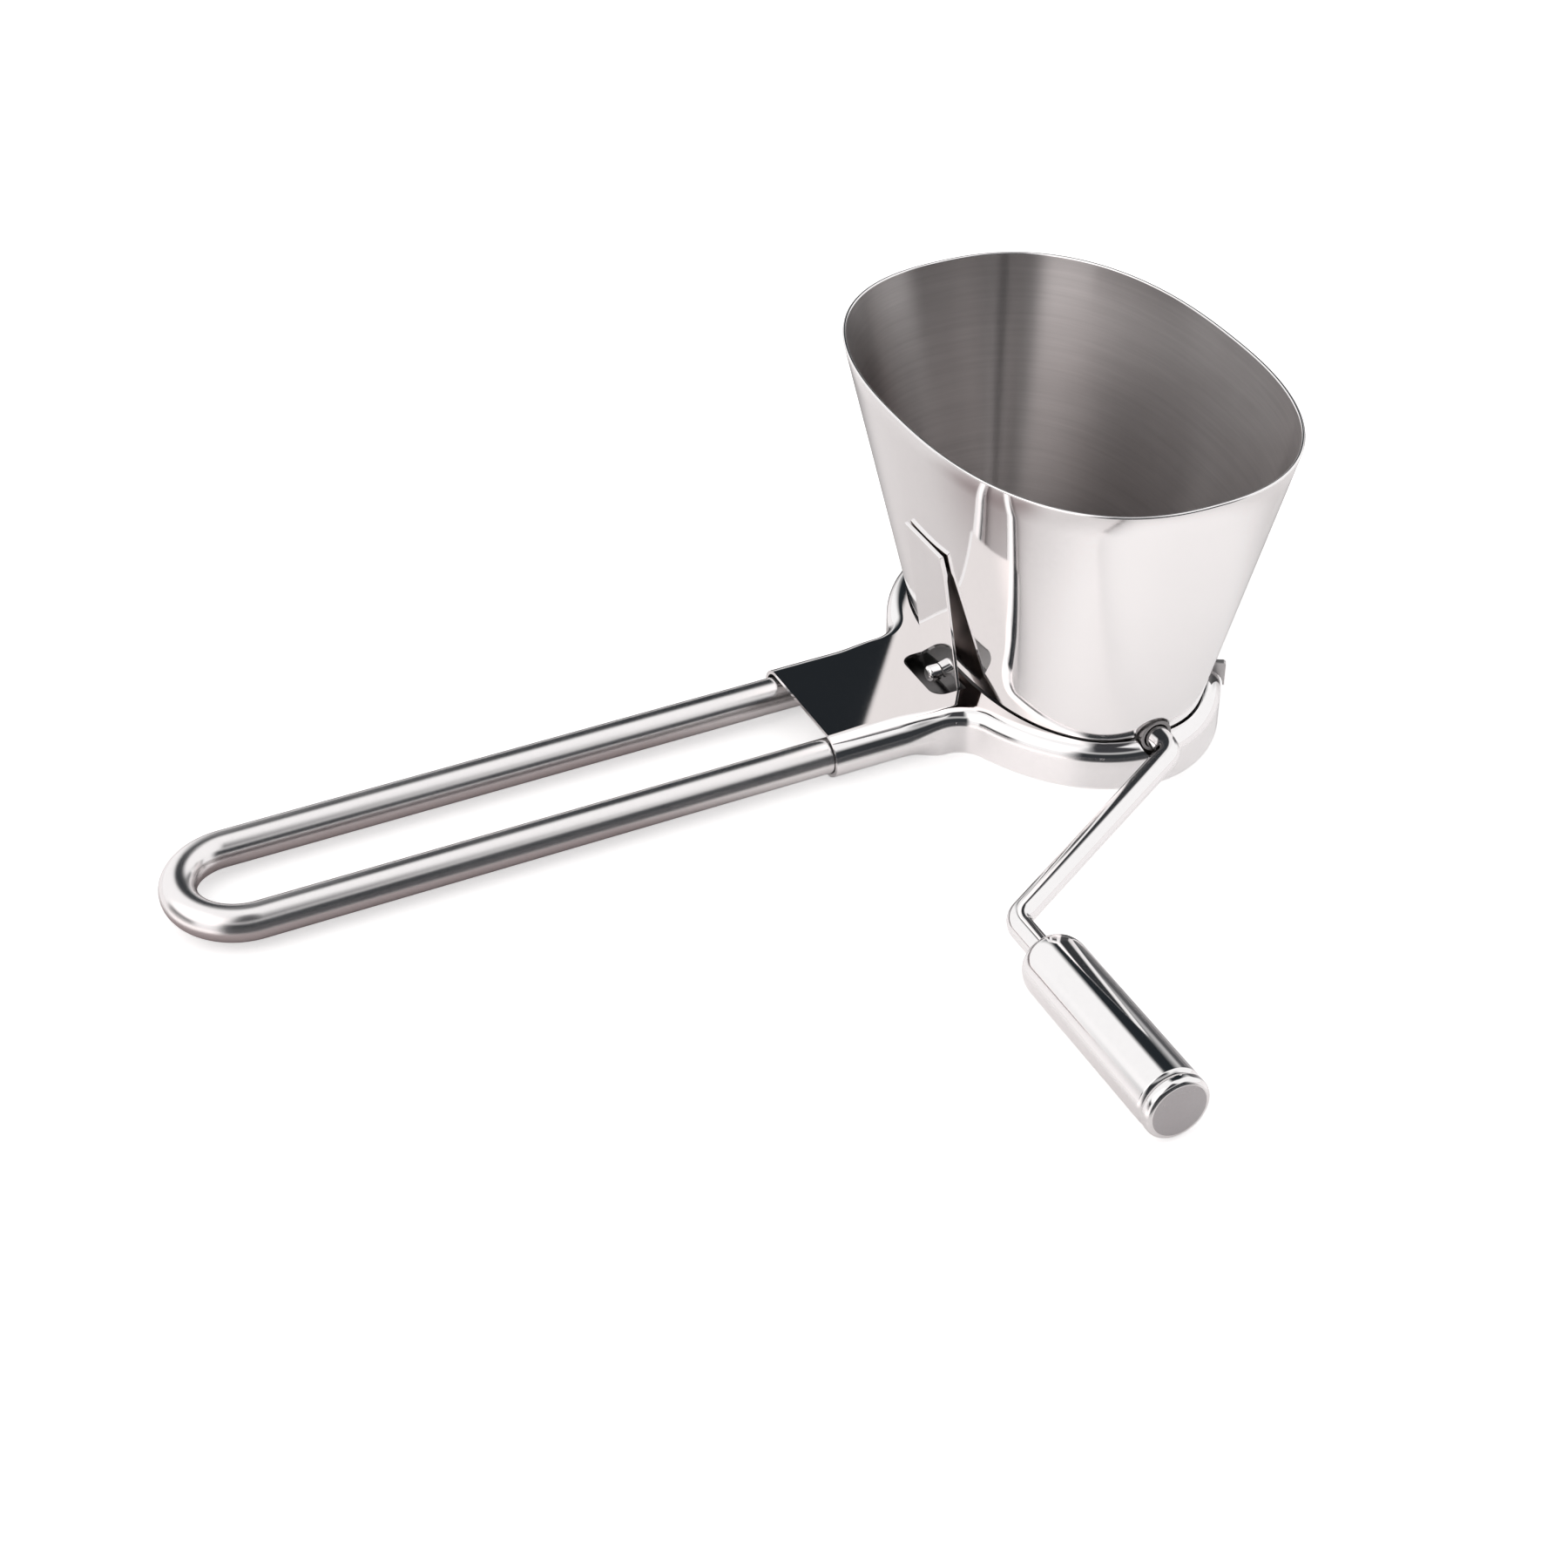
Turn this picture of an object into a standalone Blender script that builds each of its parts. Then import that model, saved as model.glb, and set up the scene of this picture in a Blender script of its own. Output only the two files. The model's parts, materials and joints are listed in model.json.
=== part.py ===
"""Hand-cranked flour sifter: an oval hopper on a keyhole-shaped base with a wire loop handle.

Turning the crank sweeps a finned agitator through a half-round sieve trough under the hopper.
The hopper lifts off the base, held by a sprung tongue whose foot stands in a window of the base plate.
The handle runs along -X, the crank shaft along Y with its crank at -Y, and Z is up.
Everything is built from the base's resting plane, then shifted so that the middle of the underside
of the whole object's box is the origin.
"""

import math

import bmesh
import bpy
from mathutils import Vector

# Sheet metal and fits
SHEET = 0.0006              # wall of every pressed sheet piece
FIT_GAP = 0.0003            # gap between pieces that touch
RUNNING_GAP = 0.0002        # radial gap of a turning fit

# Hopper
RIM_HALF_WIDTH = 0.0315     # across the handle's direction of travel, along X
RIM_HALF_LENGTH = 0.045     # along the crank shaft, Y
RIM_HEIGHT = 0.0584         # rim above the resting plane
FOOT_HALF_WIDTH = 0.0197    # outside of the hopper where it enters the base plate
FOOT_HALF_LENGTH = 0.0331
FOOT_DEPTH = 0.0022         # foot below the top of the base plate
OVAL_POWER = 2.4            # roundness of the hopper's oval, 2 is an ellipse and more is squarer

# Base frame and handle
BASE_HEIGHT = 0.008         # top of the base plate above the resting plane
SIDE_SHELF = 0.0062         # base ring beyond the hopper's foot, at the sides
END_SHELF = 0.0028          # base ring beyond the hopper's foot, at the shaft's ends
RING_SHOULDER = 0.0027      # outer radius of the base ring's round shoulder
NECK_LENGTH = 0.0222        # neck beyond the base ring
NECK_FILLET = 0.0055        # concave corner between neck and ring
SLEEVE_RUN_IN = 0.008       # length over which the ring's shoulder and skirt curl into a sleeve
SLEEVE_SIDE = 0.0004        # upright stretch of a sleeve, between its upper and its lower bend
ROD_RADIUS = 0.003
ROD_SPACING = 0.0196        # between the two legs of the handle
HANDLE_REACH = 0.1103       # handle beyond the neck's end
ROD_SEAT = 0.016            # length of each leg inside its sleeve

# Crank
WIRE_RADIUS = 0.00205
SHAFT_RISE = 0.0004         # shaft above the top of the base plate
CRANK_STANDOFF = 0.0031     # corner of the crank beyond the front of the base ring
CRANK_RADIUS = 0.0427       # shaft to grip
CRANK_LEAN = 0.5635         # outward run of the crank's arm for each unit of the crank's radius
CRANK_BEND = 0.004          # bend radius of the wire, on its centre line
SPINDLE_LEAD = 0.0089       # wire between the crank's lower corner and the grip

# Grip
GRIP_RADIUS = 0.0054
GRIP_LENGTH = 0.0359
GRIP_SHOULDER = 0.0040      # rounding of the grip's inner end
GRIP_NOSE_RADIUS = 0.0028   # flat of the grip's inner end
GRIP_CAP_LENGTH = 0.0021
GRIP_CAP_ROUNDING = 0.0009
GRIP_GROOVE = 0.0005        # depth of the groove beside the cap
GRIP_POCKET_DEPTH = 0.0050  # pocket in the grip's outer end
GRIP_POCKET_WALL = 0.0018
GRIP_PLUG_LENGTH = 0.0012   # cap's plug inside the pocket
SPINDLE_WASHER_THICKNESS = 0.0010
SPINDLE_TAIL = 0.0008       # spindle beyond its washer
GRIP_CLEARANCE = 0.0003     # grip above the resting plane, with the crank hanging at rest

# Agitator, bearings and sieve
AGITATOR_RADIUS = 0.006
AGITATOR_HUB_WALL = 0.0006
AGITATOR_FIN = 0.0011       # thickness of a fin
AGITATOR_FINS = 4
SWEEP_GAP = 0.0006          # between the fins and the trough
WASHER_THICKNESS = 0.0008
BUSH_WALL = 0.0006
BUSH_LENGTH = 0.0038
BUSH_PROUD = 0.0012         # bush outside the hopper's wall
SHAFT_CAP_LENGTH = 0.0022
TROUGH_HALF_ANGLE = math.radians(52.0)
TROUGH_CELLS_ROUND = 6
TROUGH_CELLS_LONG = 28
TROUGH_BAR = 0.0007         # solid bar between two gaps of the sieve
HUB_OVERHANG = 0.0012       # agitator's hub beyond its fins, over the trough's end plates
PAN_FALL = 0.0014           # drop of the pan's floor from its flange to the trough
PAN_SLOT_POWER = 6.0        # squareness of the oval round the pan's slot
RETAINER_HALF_WIDTH = 0.020     # open middle of the sieve retainer
RETAINER_HALF_LENGTH = 0.031

# Latch and lugs
TONGUE_WIDTH = 0.0123
TONGUE_SHIFT = -0.0016      # tongue and window off the handle's middle, towards the crank
TONGUE_TOP = 0.0352         # top of the tongue above the resting plane
TONGUE_PAD = 0.004          # upper stretch that lies along the hopper
TONGUE_STANDOFF = 0.0024    # tongue clear of the hopper's foot
TONGUE_FOOT = 0.0024        # tongue below the top of the base plate
TONGUE_PRESS = 0.0014       # room for the tongue's foot to move towards the hopper
WINDOW_REACH = 0.0044       # window beyond the tongue, towards the handle
WINDOW_ROUNDING = 0.0022    # round corners of the window on the handle's side
CATCH_RADIUS = 0.0014
CATCH_LENGTH = 0.0022
CATCH_ROUNDING = 0.0007     # round edge of the pin's head
LUG_THICKNESS = 0.0012
LUG_OUTSIDE = 0.0003        # lug beyond the ring's skirt
LUG_INSIDE = 0.0016         # lug over the ring's shoulder
LUG_ABOVE = 0.0018          # lug above the top of the base plate
LUG_ANGLE = math.radians(38.4)      # place of the lugs round the base ring, from +X

# Facets
OVAL_POINTS = 72
ROUND_STEPS = 24
LOOP_STEPS = 20
EDGE_STEPS = 5
CURL_STEPS = 3
RUN_IN_STEPS = 4

# Worked out from the sizes above
SLEEVE_RADIUS = ROD_RADIUS + RUNNING_GAP + SHEET
ROD_HEIGHT = BASE_HEIGHT - SLEEVE_RADIUS - SLEEVE_SIDE     # middle of the handle's legs
SHOULDER_HEIGHT = BASE_HEIGHT - RING_SHOULDER   # where the ring's round shoulder meets its skirt
SHAFT_HEIGHT = BASE_HEIGHT + SHAFT_RISE
SIDE_TAPER = (RIM_HALF_WIDTH - FOOT_HALF_WIDTH) / (RIM_HEIGHT - BASE_HEIGHT)
END_TAPER = (RIM_HALF_LENGTH - FOOT_HALF_LENGTH) / (RIM_HEIGHT - BASE_HEIGHT)
RING_HALF_WIDTH = FOOT_HALF_WIDTH + SIDE_SHELF
RING_HALF_LENGTH = FOOT_HALF_LENGTH + END_SHELF
NECK_HALF_WIDTH = ROD_SPACING / 2 + SLEEVE_RADIUS
NECK_END = -RING_HALF_WIDTH - NECK_LENGTH
BUSH_RADIUS = WIRE_RADIUS + RUNNING_GAP + BUSH_WALL
NOTCH_RADIUS = BUSH_RADIUS + FIT_GAP
BUSH_OUTER_END = FOOT_HALF_LENGTH + BUSH_PROUD
BUSH_INNER_END = BUSH_OUTER_END - BUSH_LENGTH
HUB_RADIUS = WIRE_RADIUS + RUNNING_GAP + AGITATOR_HUB_WALL
HUB_HALF_LENGTH = BUSH_INNER_END - WASHER_THICKNESS - 2 * FIT_GAP
FIN_HALF_LENGTH = HUB_HALF_LENGTH - HUB_OVERHANG
TROUGH_RADIUS = AGITATOR_RADIUS + SWEEP_GAP
TROUGH_HALF_LENGTH = FIN_HALF_LENGTH + SWEEP_GAP
TROUGH_EDGE = (TROUGH_RADIUS + SHEET) * math.sin(TROUGH_HALF_ANGLE)
TROUGH_TOP = SHAFT_HEIGHT - TROUGH_RADIUS * math.cos(TROUGH_HALF_ANGLE)
PAN_FLANGE = BASE_HEIGHT - FOOT_DEPTH - FIT_GAP - SHEET
PAN_HALF_WIDTH = RING_HALF_WIDTH - SHEET - FIT_GAP
PAN_HALF_LENGTH = RING_HALF_LENGTH - SHEET - FIT_GAP
CRANK_CORNER = RING_HALF_LENGTH + CRANK_STANDOFF
CRANK_FOOT = CRANK_CORNER + CRANK_LEAN * CRANK_RADIUS
CRANK_FALL = SHAFT_HEIGHT - GRIP_RADIUS - GRIP_CLEARANCE
CRANK_DROP = math.asin(CRANK_FALL / CRANK_RADIUS)       # crank below level, at rest
GRIP_START = CRANK_FOOT + SPINDLE_LEAD
GRIP_END = GRIP_START + GRIP_LENGTH
GRIP_BORE = WIRE_RADIUS + RUNNING_GAP
GRIP_POCKET = GRIP_RADIUS - GRIP_POCKET_WALL
GRIP_POCKET_FLOOR = GRIP_END - GRIP_POCKET_DEPTH
SHAFT_REAR_END = BUSH_OUTER_END + SHAFT_CAP_LENGTH


# Materials

def metal(name, colour, roughness):
    material = bpy.data.materials.new(name)
    material.use_nodes = True
    shader = material.node_tree.nodes["Principled BSDF"]
    shader.inputs["Base Color"].default_value = (*colour, 1.0)
    shader.inputs["Roughness"].default_value = roughness
    shader.inputs["Metallic"].default_value = 1.0
    return material


# Objects

def empty(name, parent=None, location=(0, 0, 0), turn_about_y=0.0):
    holder = bpy.data.objects.new(name, None)
    bpy.context.collection.objects.link(holder)
    holder.parent = parent
    holder.location = location
    holder.rotation_euler = (0.0, turn_about_y, 0.0)
    return holder


def add_object(name, data, parent, material=None, location=(0, 0, 0)):
    item = bpy.data.objects.new(name, data)
    bpy.context.collection.objects.link(item)
    item.parent = parent
    item.location = location
    if material:
        data.materials.append(material)
    return item


def mesh_object(name, shape, parent, material=None, location=(0, 0, 0)):
    """Turn a bmesh into a named object with smooth round faces and sharp edges."""
    bmesh.ops.recalc_face_normals(shape, faces=shape.faces[:])
    mesh = bpy.data.meshes.new(name)
    shape.to_mesh(mesh)
    shape.free()
    mesh.shade_smooth()
    mesh.set_sharp_from_angle(angle=math.radians(35.0))
    return add_object(name, mesh, parent, material, location)


def cut(target, cutter):
    """Cut one object out of another and keep the cutter as a hidden guide."""
    cutter.hide_render = True
    cutter.display_type = "WIRE"
    tool = target.modifiers.new("cut_" + cutter.name, "BOOLEAN")
    tool.operation = "DIFFERENCE"
    tool.solver = "EXACT"
    tool.object = cutter


# Shapes

def oval(half_width, half_length, height, power=2.0, count=OVAL_POINTS):
    """Points of an oval in a level plane, counted round from +X."""
    points = []
    for step in range(count):
        angle = 2 * math.pi * step / count
        across = math.copysign(abs(math.cos(angle)) ** (2 / power), math.cos(angle))
        along = math.copysign(abs(math.sin(angle)) ** (2 / power), math.sin(angle))
        points.append(Vector((half_width * across, half_length * along, height)))
    return points


def loft(rings, closed_loop=True):
    """Skin a row of rings of equal count; an open row gets a flat cap at each end."""
    shape = bmesh.new()
    vertex_rings = [[shape.verts.new(point) for point in ring] for ring in rings]
    pairs = list(zip(vertex_rings, vertex_rings[1:]))
    if closed_loop:
        pairs.append((vertex_rings[-1], vertex_rings[0]))
    for lower, upper in pairs:
        for here in range(len(lower)):
            beyond = (here + 1) % len(lower)
            shape.faces.new((lower[here], lower[beyond], upper[beyond], upper[here]))
    if not closed_loop:
        shape.faces.new(vertex_rings[0])
        shape.faces.new(vertex_rings[-1])
    return shape


def turned(profile, closed_profile, steps=ROUND_STEPS):
    """Turn a profile of (radius, distance along Y) points about the Y axis."""
    shape = bmesh.new()
    corners = [shape.verts.new((radius, along, 0.0)) for radius, along in profile]
    pairs = list(zip(corners, corners[1:]))
    if closed_profile:
        pairs.append((corners[-1], corners[0]))
    edges = [shape.edges.new(pair) for pair in pairs]
    bmesh.ops.spin(shape, geom=corners + edges, axis=(0, 1, 0), cent=(0, 0, 0), steps=steps,
                   angle=2 * math.pi, use_merge=True)
    bmesh.ops.remove_doubles(shape, verts=shape.verts[:], dist=1e-6)
    return shape


def sleeve_profile(inner, outer, start, end):
    return [(inner, start), (outer, start), (outer, end), (inner, end)]


def box(low, high):
    shape = bmesh.new()
    bmesh.ops.create_cube(shape, size=1.0)
    size = Vector(high) - Vector(low)
    bmesh.ops.scale(shape, verts=shape.verts[:], vec=size)
    bmesh.ops.translate(shape, verts=shape.verts[:], vec=(Vector(high) + Vector(low)) / 2)
    return shape


def extrude_along_y(outline, half_length):
    """Extrude an outline of (x, z) points to both sides of the XZ plane."""
    return loft([[Vector((x, y, z)) for x, z in outline] for y in (-half_length, half_length)],
                closed_loop=False)


def bent_route(corners, bend_radius, steps=6):
    """Points of a wire that runs straight between corners and turns round each of them."""
    points = [corners[0]]
    for before, corner, after in zip(corners, corners[1:], corners[2:]):
        incoming = (corner - before).normalized()
        outgoing = (after - corner).normalized()
        turn = incoming.angle(outgoing)
        setback = bend_radius * math.tan(turn / 2)
        start = corner - incoming * setback
        inward = (outgoing - incoming * incoming.dot(outgoing)).normalized()
        centre = start + inward * bend_radius
        for step in range(steps + 1):
            angle = turn * step / steps
            points.append(centre - inward * (bend_radius * math.cos(angle))
                          + incoming * (bend_radius * math.sin(angle)))
    points.append(corners[-1])
    return points


def wire_object(name, points, radius, parent, material):
    """A round wire as a bevelled curve with filled ends."""
    curve = bpy.data.curves.new(name, "CURVE")
    curve.dimensions = "3D"
    curve.bevel_depth = radius
    curve.bevel_resolution = 6
    curve.use_fill_caps = True
    spline = curve.splines.new("POLY")
    spline.points.add(len(points) - 1)
    for target, point in zip(spline.points, points):
        target.co = (*point, 1.0)
        target.radius = 1.0
    spline.use_smooth = True
    return add_object(name, curve, parent, material)


# Base

def ring_point(angle):
    """Point and outward direction on the base ring's outline."""
    point = Vector((RING_HALF_WIDTH * math.cos(angle), RING_HALF_LENGTH * math.sin(angle)))
    outward = Vector((math.cos(angle) / RING_HALF_WIDTH, math.sin(angle) / RING_HALF_LENGTH))
    return point, outward.normalized()


def fillet_angle():
    """Place on the ring where the concave corner to the neck starts, found by halving."""
    low, high = math.pi / 2, math.pi
    for _ in range(60):
        middle = (low + high) / 2
        point, outward = ring_point(middle)
        if point.y + NECK_FILLET * outward.y > NECK_HALF_WIDTH + NECK_FILLET:
            low = middle
        else:
            high = middle
    return middle


def base_outline():
    """Keyhole outline as (point, outward direction, share of sleeve curl), counted round."""
    start = fillet_angle()
    upper = []
    ring_steps = OVAL_POINTS // 2
    for step in range(ring_steps + 1):
        upper.append((*ring_point(start * step / ring_steps), 0.0))
    point, outward = ring_point(start)
    centre = point + outward * NECK_FILLET
    first = math.atan2(-outward.y, -outward.x)
    last = -math.pi / 2
    for step in range(1, EDGE_STEPS + 1):
        angle = first + (last - first) * step / EDGE_STEPS
        away = Vector((math.cos(angle), math.sin(angle)))
        upper.append((centre + away * NECK_FILLET, -away, 0.0))
    for step in range(1, RUN_IN_STEPS + 1):
        share = step / RUN_IN_STEPS
        curl = share * share * (3 - 2 * share)
        place = Vector((centre.x - SLEEVE_RUN_IN * share, NECK_HALF_WIDTH))
        upper.append((place, Vector((0, 1)), curl))
    # A round end beyond the neck closes the outline; the neck is cut off square before it.
    for step in range(EDGE_STEPS + 1):
        angle = math.pi / 2 + math.pi / 2 * step / EDGE_STEPS
        away = Vector((math.cos(angle), math.sin(angle)))
        upper.append((Vector((NECK_END - NECK_HALF_WIDTH, 0)) + away * NECK_HALF_WIDTH, away, 1.0))
    mirrored = [(Vector((p.x, -p.y)), Vector((n.x, -n.y)), c) for p, n, c in upper[1:-1]]
    return upper + mirrored[::-1]


def edge_section(depth, curl):
    """Section of the rolled edge as (inset, height): over the shoulder, then down or under the rod."""
    bend = RING_SHOULDER + (SLEEVE_RADIUS - RING_SHOULDER) * curl
    radius = bend - depth
    spring = BASE_HEIGHT - bend
    section = []
    for step in range(EDGE_STEPS + 1):
        angle = math.pi / 2 * (1 - step / EDGE_STEPS)
        section.append((bend - radius * math.cos(angle), spring + radius * math.sin(angle)))
    under_radius = SLEEVE_RADIUS - depth
    for step in range(CURL_STEPS + 1):
        angle = math.pi / 2 * step / CURL_STEPS
        skirt = (depth, ROD_HEIGHT * (1 - step / CURL_STEPS))
        under_inset = SLEEVE_RADIUS - under_radius * math.cos(angle)
        under = (under_inset, ROD_HEIGHT - under_radius * math.sin(angle))
        section.append(tuple(a + (b - a) * curl for a, b in zip(skirt, under)))
    return section


def window_shape():
    """Upright block of the tongue's window, with round corners on the handle's side."""
    foot_face = -FOOT_HALF_WIDTH - TONGUE_STANDOFF
    inner_edge = foot_face + TONGUE_PRESS
    outer_edge = foot_face - SHEET - WINDOW_REACH
    half = TONGUE_WIDTH / 2 + FIT_GAP
    outline = [(inner_edge, half)]
    for side, first in ((1, math.pi / 2), (-1, math.pi)):
        for step in range(EDGE_STEPS + 1):
            angle = first + math.pi / 2 * step / EDGE_STEPS
            outline.append((outer_edge + WINDOW_ROUNDING * (1 + math.cos(angle)),
                            side * (half - WINDOW_ROUNDING) + WINDOW_ROUNDING * math.sin(angle)))
    outline.append((inner_edge, -half))
    levels = (SHOULDER_HEIGHT, BASE_HEIGHT + SLEEVE_RADIUS)
    return loft([[Vector((x, TONGUE_SHIFT + y, height)) for x, y in outline] for height in levels],
                closed_loop=False)


def base_frame(parent, material):
    """One stamping: base ring with its skirt, and a neck whose edges roll round the handle's legs."""
    outline = base_outline()
    sections = []
    for _, _, curl in outline:
        outer = edge_section(0.0, curl)
        inner = edge_section(SHEET, curl)
        sections.append(outer + inner[::-1])
    rings = []
    for row in range(len(sections[0])):
        ring = []
        for (point, outward, _), section in zip(outline, sections):
            inset, height = section[row]
            place = point - outward * inset
            ring.append(Vector((place.x, place.y, height)))
        rings.append(ring)
    frame = mesh_object("base_frame", loft(rings, closed_loop=False), parent, material)
    reach = 2 * NECK_HALF_WIDTH
    neck_end = box((NECK_END - 2 * reach, -reach, -reach), (NECK_END, reach, reach))
    cut(frame, mesh_object("neck_end_cutter", neck_end, parent))
    mouth = [oval(FOOT_HALF_WIDTH + FIT_GAP, FOOT_HALF_LENGTH + FIT_GAP, height, OVAL_POWER)
             for height in (SHOULDER_HEIGHT, BASE_HEIGHT + SLEEVE_RADIUS)]
    cut(frame, mesh_object("foot_mouth_cutter", loft(mouth, closed_loop=False), parent))
    cut(frame, mesh_object("window_cutter", window_shape(), parent))
    notch = turned([(0, -2 * RING_HALF_LENGTH), (NOTCH_RADIUS, -2 * RING_HALF_LENGTH),
                    (NOTCH_RADIUS, 2 * RING_HALF_LENGTH), (0, 2 * RING_HALF_LENGTH)], False)
    cut(frame, mesh_object("shaft_notch_cutter", notch, parent, location=(0, 0, SHAFT_HEIGHT)))
    return frame


def handle_loop(parent, material):
    """One rod bent into a loop, with both legs ending inside the neck's sleeves."""
    half = ROD_SPACING / 2
    inside = NECK_END + ROD_SEAT
    bend_centre = NECK_END - HANDLE_REACH + ROD_RADIUS + half
    points = [Vector((inside, half, ROD_HEIGHT))]
    for step in range(LOOP_STEPS + 1):
        angle = math.pi / 2 + math.pi * step / LOOP_STEPS
        place = bend_centre + half * math.cos(angle)
        points.append(Vector((place, half * math.sin(angle), ROD_HEIGHT)))
    points.append(Vector((inside, -half, ROD_HEIGHT)))
    return wire_object("handle_loop", points, ROD_RADIUS, parent, material)


def locating_lugs(parent, material):
    """Two upright ears that hug the ring's shoulder and keep the hopper from shifting."""
    wrap = RING_SHOULDER + FIT_GAP
    outline = []
    inner_angle = math.acos((RING_SHOULDER - LUG_INSIDE) / wrap)
    for step in range(EDGE_STEPS + 1):
        angle = inner_angle * (1 - step / EDGE_STEPS)
        outline.append((wrap * math.cos(angle) - RING_SHOULDER, SHOULDER_HEIGHT + wrap * math.sin(angle)))
    outer = FIT_GAP + LUG_OUTSIDE
    top = BASE_HEIGHT + LUG_ABOVE
    outline += [(outer, SHOULDER_HEIGHT), (outer, top - LUG_OUTSIDE), (outer - LUG_OUTSIDE, top),
                (-LUG_INSIDE, top)]
    for name, side in (("locating_lug_front", -1), ("locating_lug_rear", 1)):
        point, outward = ring_point(side * LUG_ANGLE)
        along = Vector((-outward.y, outward.x)) * (LUG_THICKNESS / 2)
        rings = []
        for edge in (-along, along):
            places = [(point + outward * reach + edge, height) for reach, height in outline]
            rings.append([Vector((place.x, place.y, height)) for place, height in places])
        mesh_object(name, loft(rings, closed_loop=False), parent, material)


# Sieve

def sieve_retainer(parent, material):
    """Angle-section ring inside the skirt; its flat underside is what the sifter stands on."""
    shelf_top = PAN_FLANGE - SHEET - FIT_GAP
    inside = (PAN_HALF_WIDTH - SHEET, PAN_HALF_LENGTH - SHEET)
    rings = [oval(PAN_HALF_WIDTH, PAN_HALF_LENGTH, 0.0),
             oval(PAN_HALF_WIDTH, PAN_HALF_LENGTH, shelf_top),
             oval(*inside, shelf_top),
             oval(*inside, SHEET),
             oval(RETAINER_HALF_WIDTH, RETAINER_HALF_LENGTH, SHEET),
             oval(RETAINER_HALF_WIDTH, RETAINER_HALF_LENGTH, 0.0)]
    mesh_object("sieve_retainer", loft(rings), parent, material)


def sieve_pan(parent, material):
    """Dished floor under the hopper with a long slot for the sieve trough."""
    slot_width = TROUGH_EDGE + FIT_GAP
    slot_length = TROUGH_HALF_LENGTH + SHEET + 2 * FIT_GAP
    rings = []
    for drop in (0.0, SHEET):
        levels = [oval(PAN_HALF_WIDTH, PAN_HALF_LENGTH, PAN_FLANGE - drop),
                  oval(FOOT_HALF_WIDTH, FOOT_HALF_LENGTH, PAN_FLANGE - drop, OVAL_POWER),
                  oval(slot_width + SHEET, slot_length + SHEET, PAN_FLANGE - PAN_FALL - drop, PAN_SLOT_POWER)]
        rings += levels[::-1] if drop == 0.0 else levels
    pan = mesh_object("sieve_pan", loft(rings, closed_loop=False), parent, material)
    slot = box((-slot_width, -slot_length, 0.0), (slot_width, slot_length, BASE_HEIGHT))
    cut(pan, mesh_object("pan_slot_cutter", slot, parent))


def sieve_mesh(parent, material):
    """Half-round net: a flat grid with a gap in each cell, rolled round the shaft and thickened."""
    shape = bmesh.new()
    bmesh.ops.create_grid(shape, x_segments=TROUGH_CELLS_ROUND, y_segments=TROUGH_CELLS_LONG, size=1.0)
    width = TROUGH_RADIUS * TROUGH_HALF_ANGLE
    bmesh.ops.scale(shape, verts=shape.verts[:], vec=(width, TROUGH_HALF_LENGTH, 1.0))
    cells = shape.faces[:]
    bmesh.ops.inset_individual(shape, faces=cells, thickness=TROUGH_BAR / 2)
    bmesh.ops.delete(shape, geom=cells, context="FACES")
    for vertex in shape.verts:
        angle = vertex.co.x / TROUGH_RADIUS
        vertex.co.x = TROUGH_RADIUS * math.sin(angle)
        vertex.co.z = -TROUGH_RADIUS * math.cos(angle)
    mesh = bpy.data.meshes.new("sieve_mesh")
    shape.to_mesh(mesh)
    shape.free()
    net = add_object("sieve_mesh", mesh, parent, material, (0, 0, SHAFT_HEIGHT))
    thickness = net.modifiers.new("thickness", "SOLIDIFY")
    thickness.thickness = SHEET
    thickness.offset = -1.0


def trough_ends(parent, material):
    """Two plates that close the ends of the trough below the agitator's hub."""
    radius = TROUGH_RADIUS + SHEET
    outline = []
    for step in range(ROUND_STEPS // 2 + 1):
        angle = TROUGH_HALF_ANGLE * (4 * step / ROUND_STEPS - 1)
        outline.append((radius * math.sin(angle), SHAFT_HEIGHT - radius * math.cos(angle)))
    middle = TROUGH_HALF_LENGTH + FIT_GAP + SHEET / 2
    for name, side in (("trough_end_front", -1), ("trough_end_rear", 1)):
        mesh_object(name, extrude_along_y(outline, SHEET / 2), parent, material, (0, side * middle, 0))


def shaft_bushes(parent, material):
    profile = sleeve_profile(WIRE_RADIUS + RUNNING_GAP, BUSH_RADIUS, BUSH_INNER_END, BUSH_OUTER_END)
    for name, side in (("shaft_bush_front", -1), ("shaft_bush_rear", 1)):
        mirrored = [(radius, side * along) for radius, along in profile]
        mesh_object(name, turned(mirrored, True), parent, material, (0, 0, SHAFT_HEIGHT))


# Hopper and latch

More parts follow.
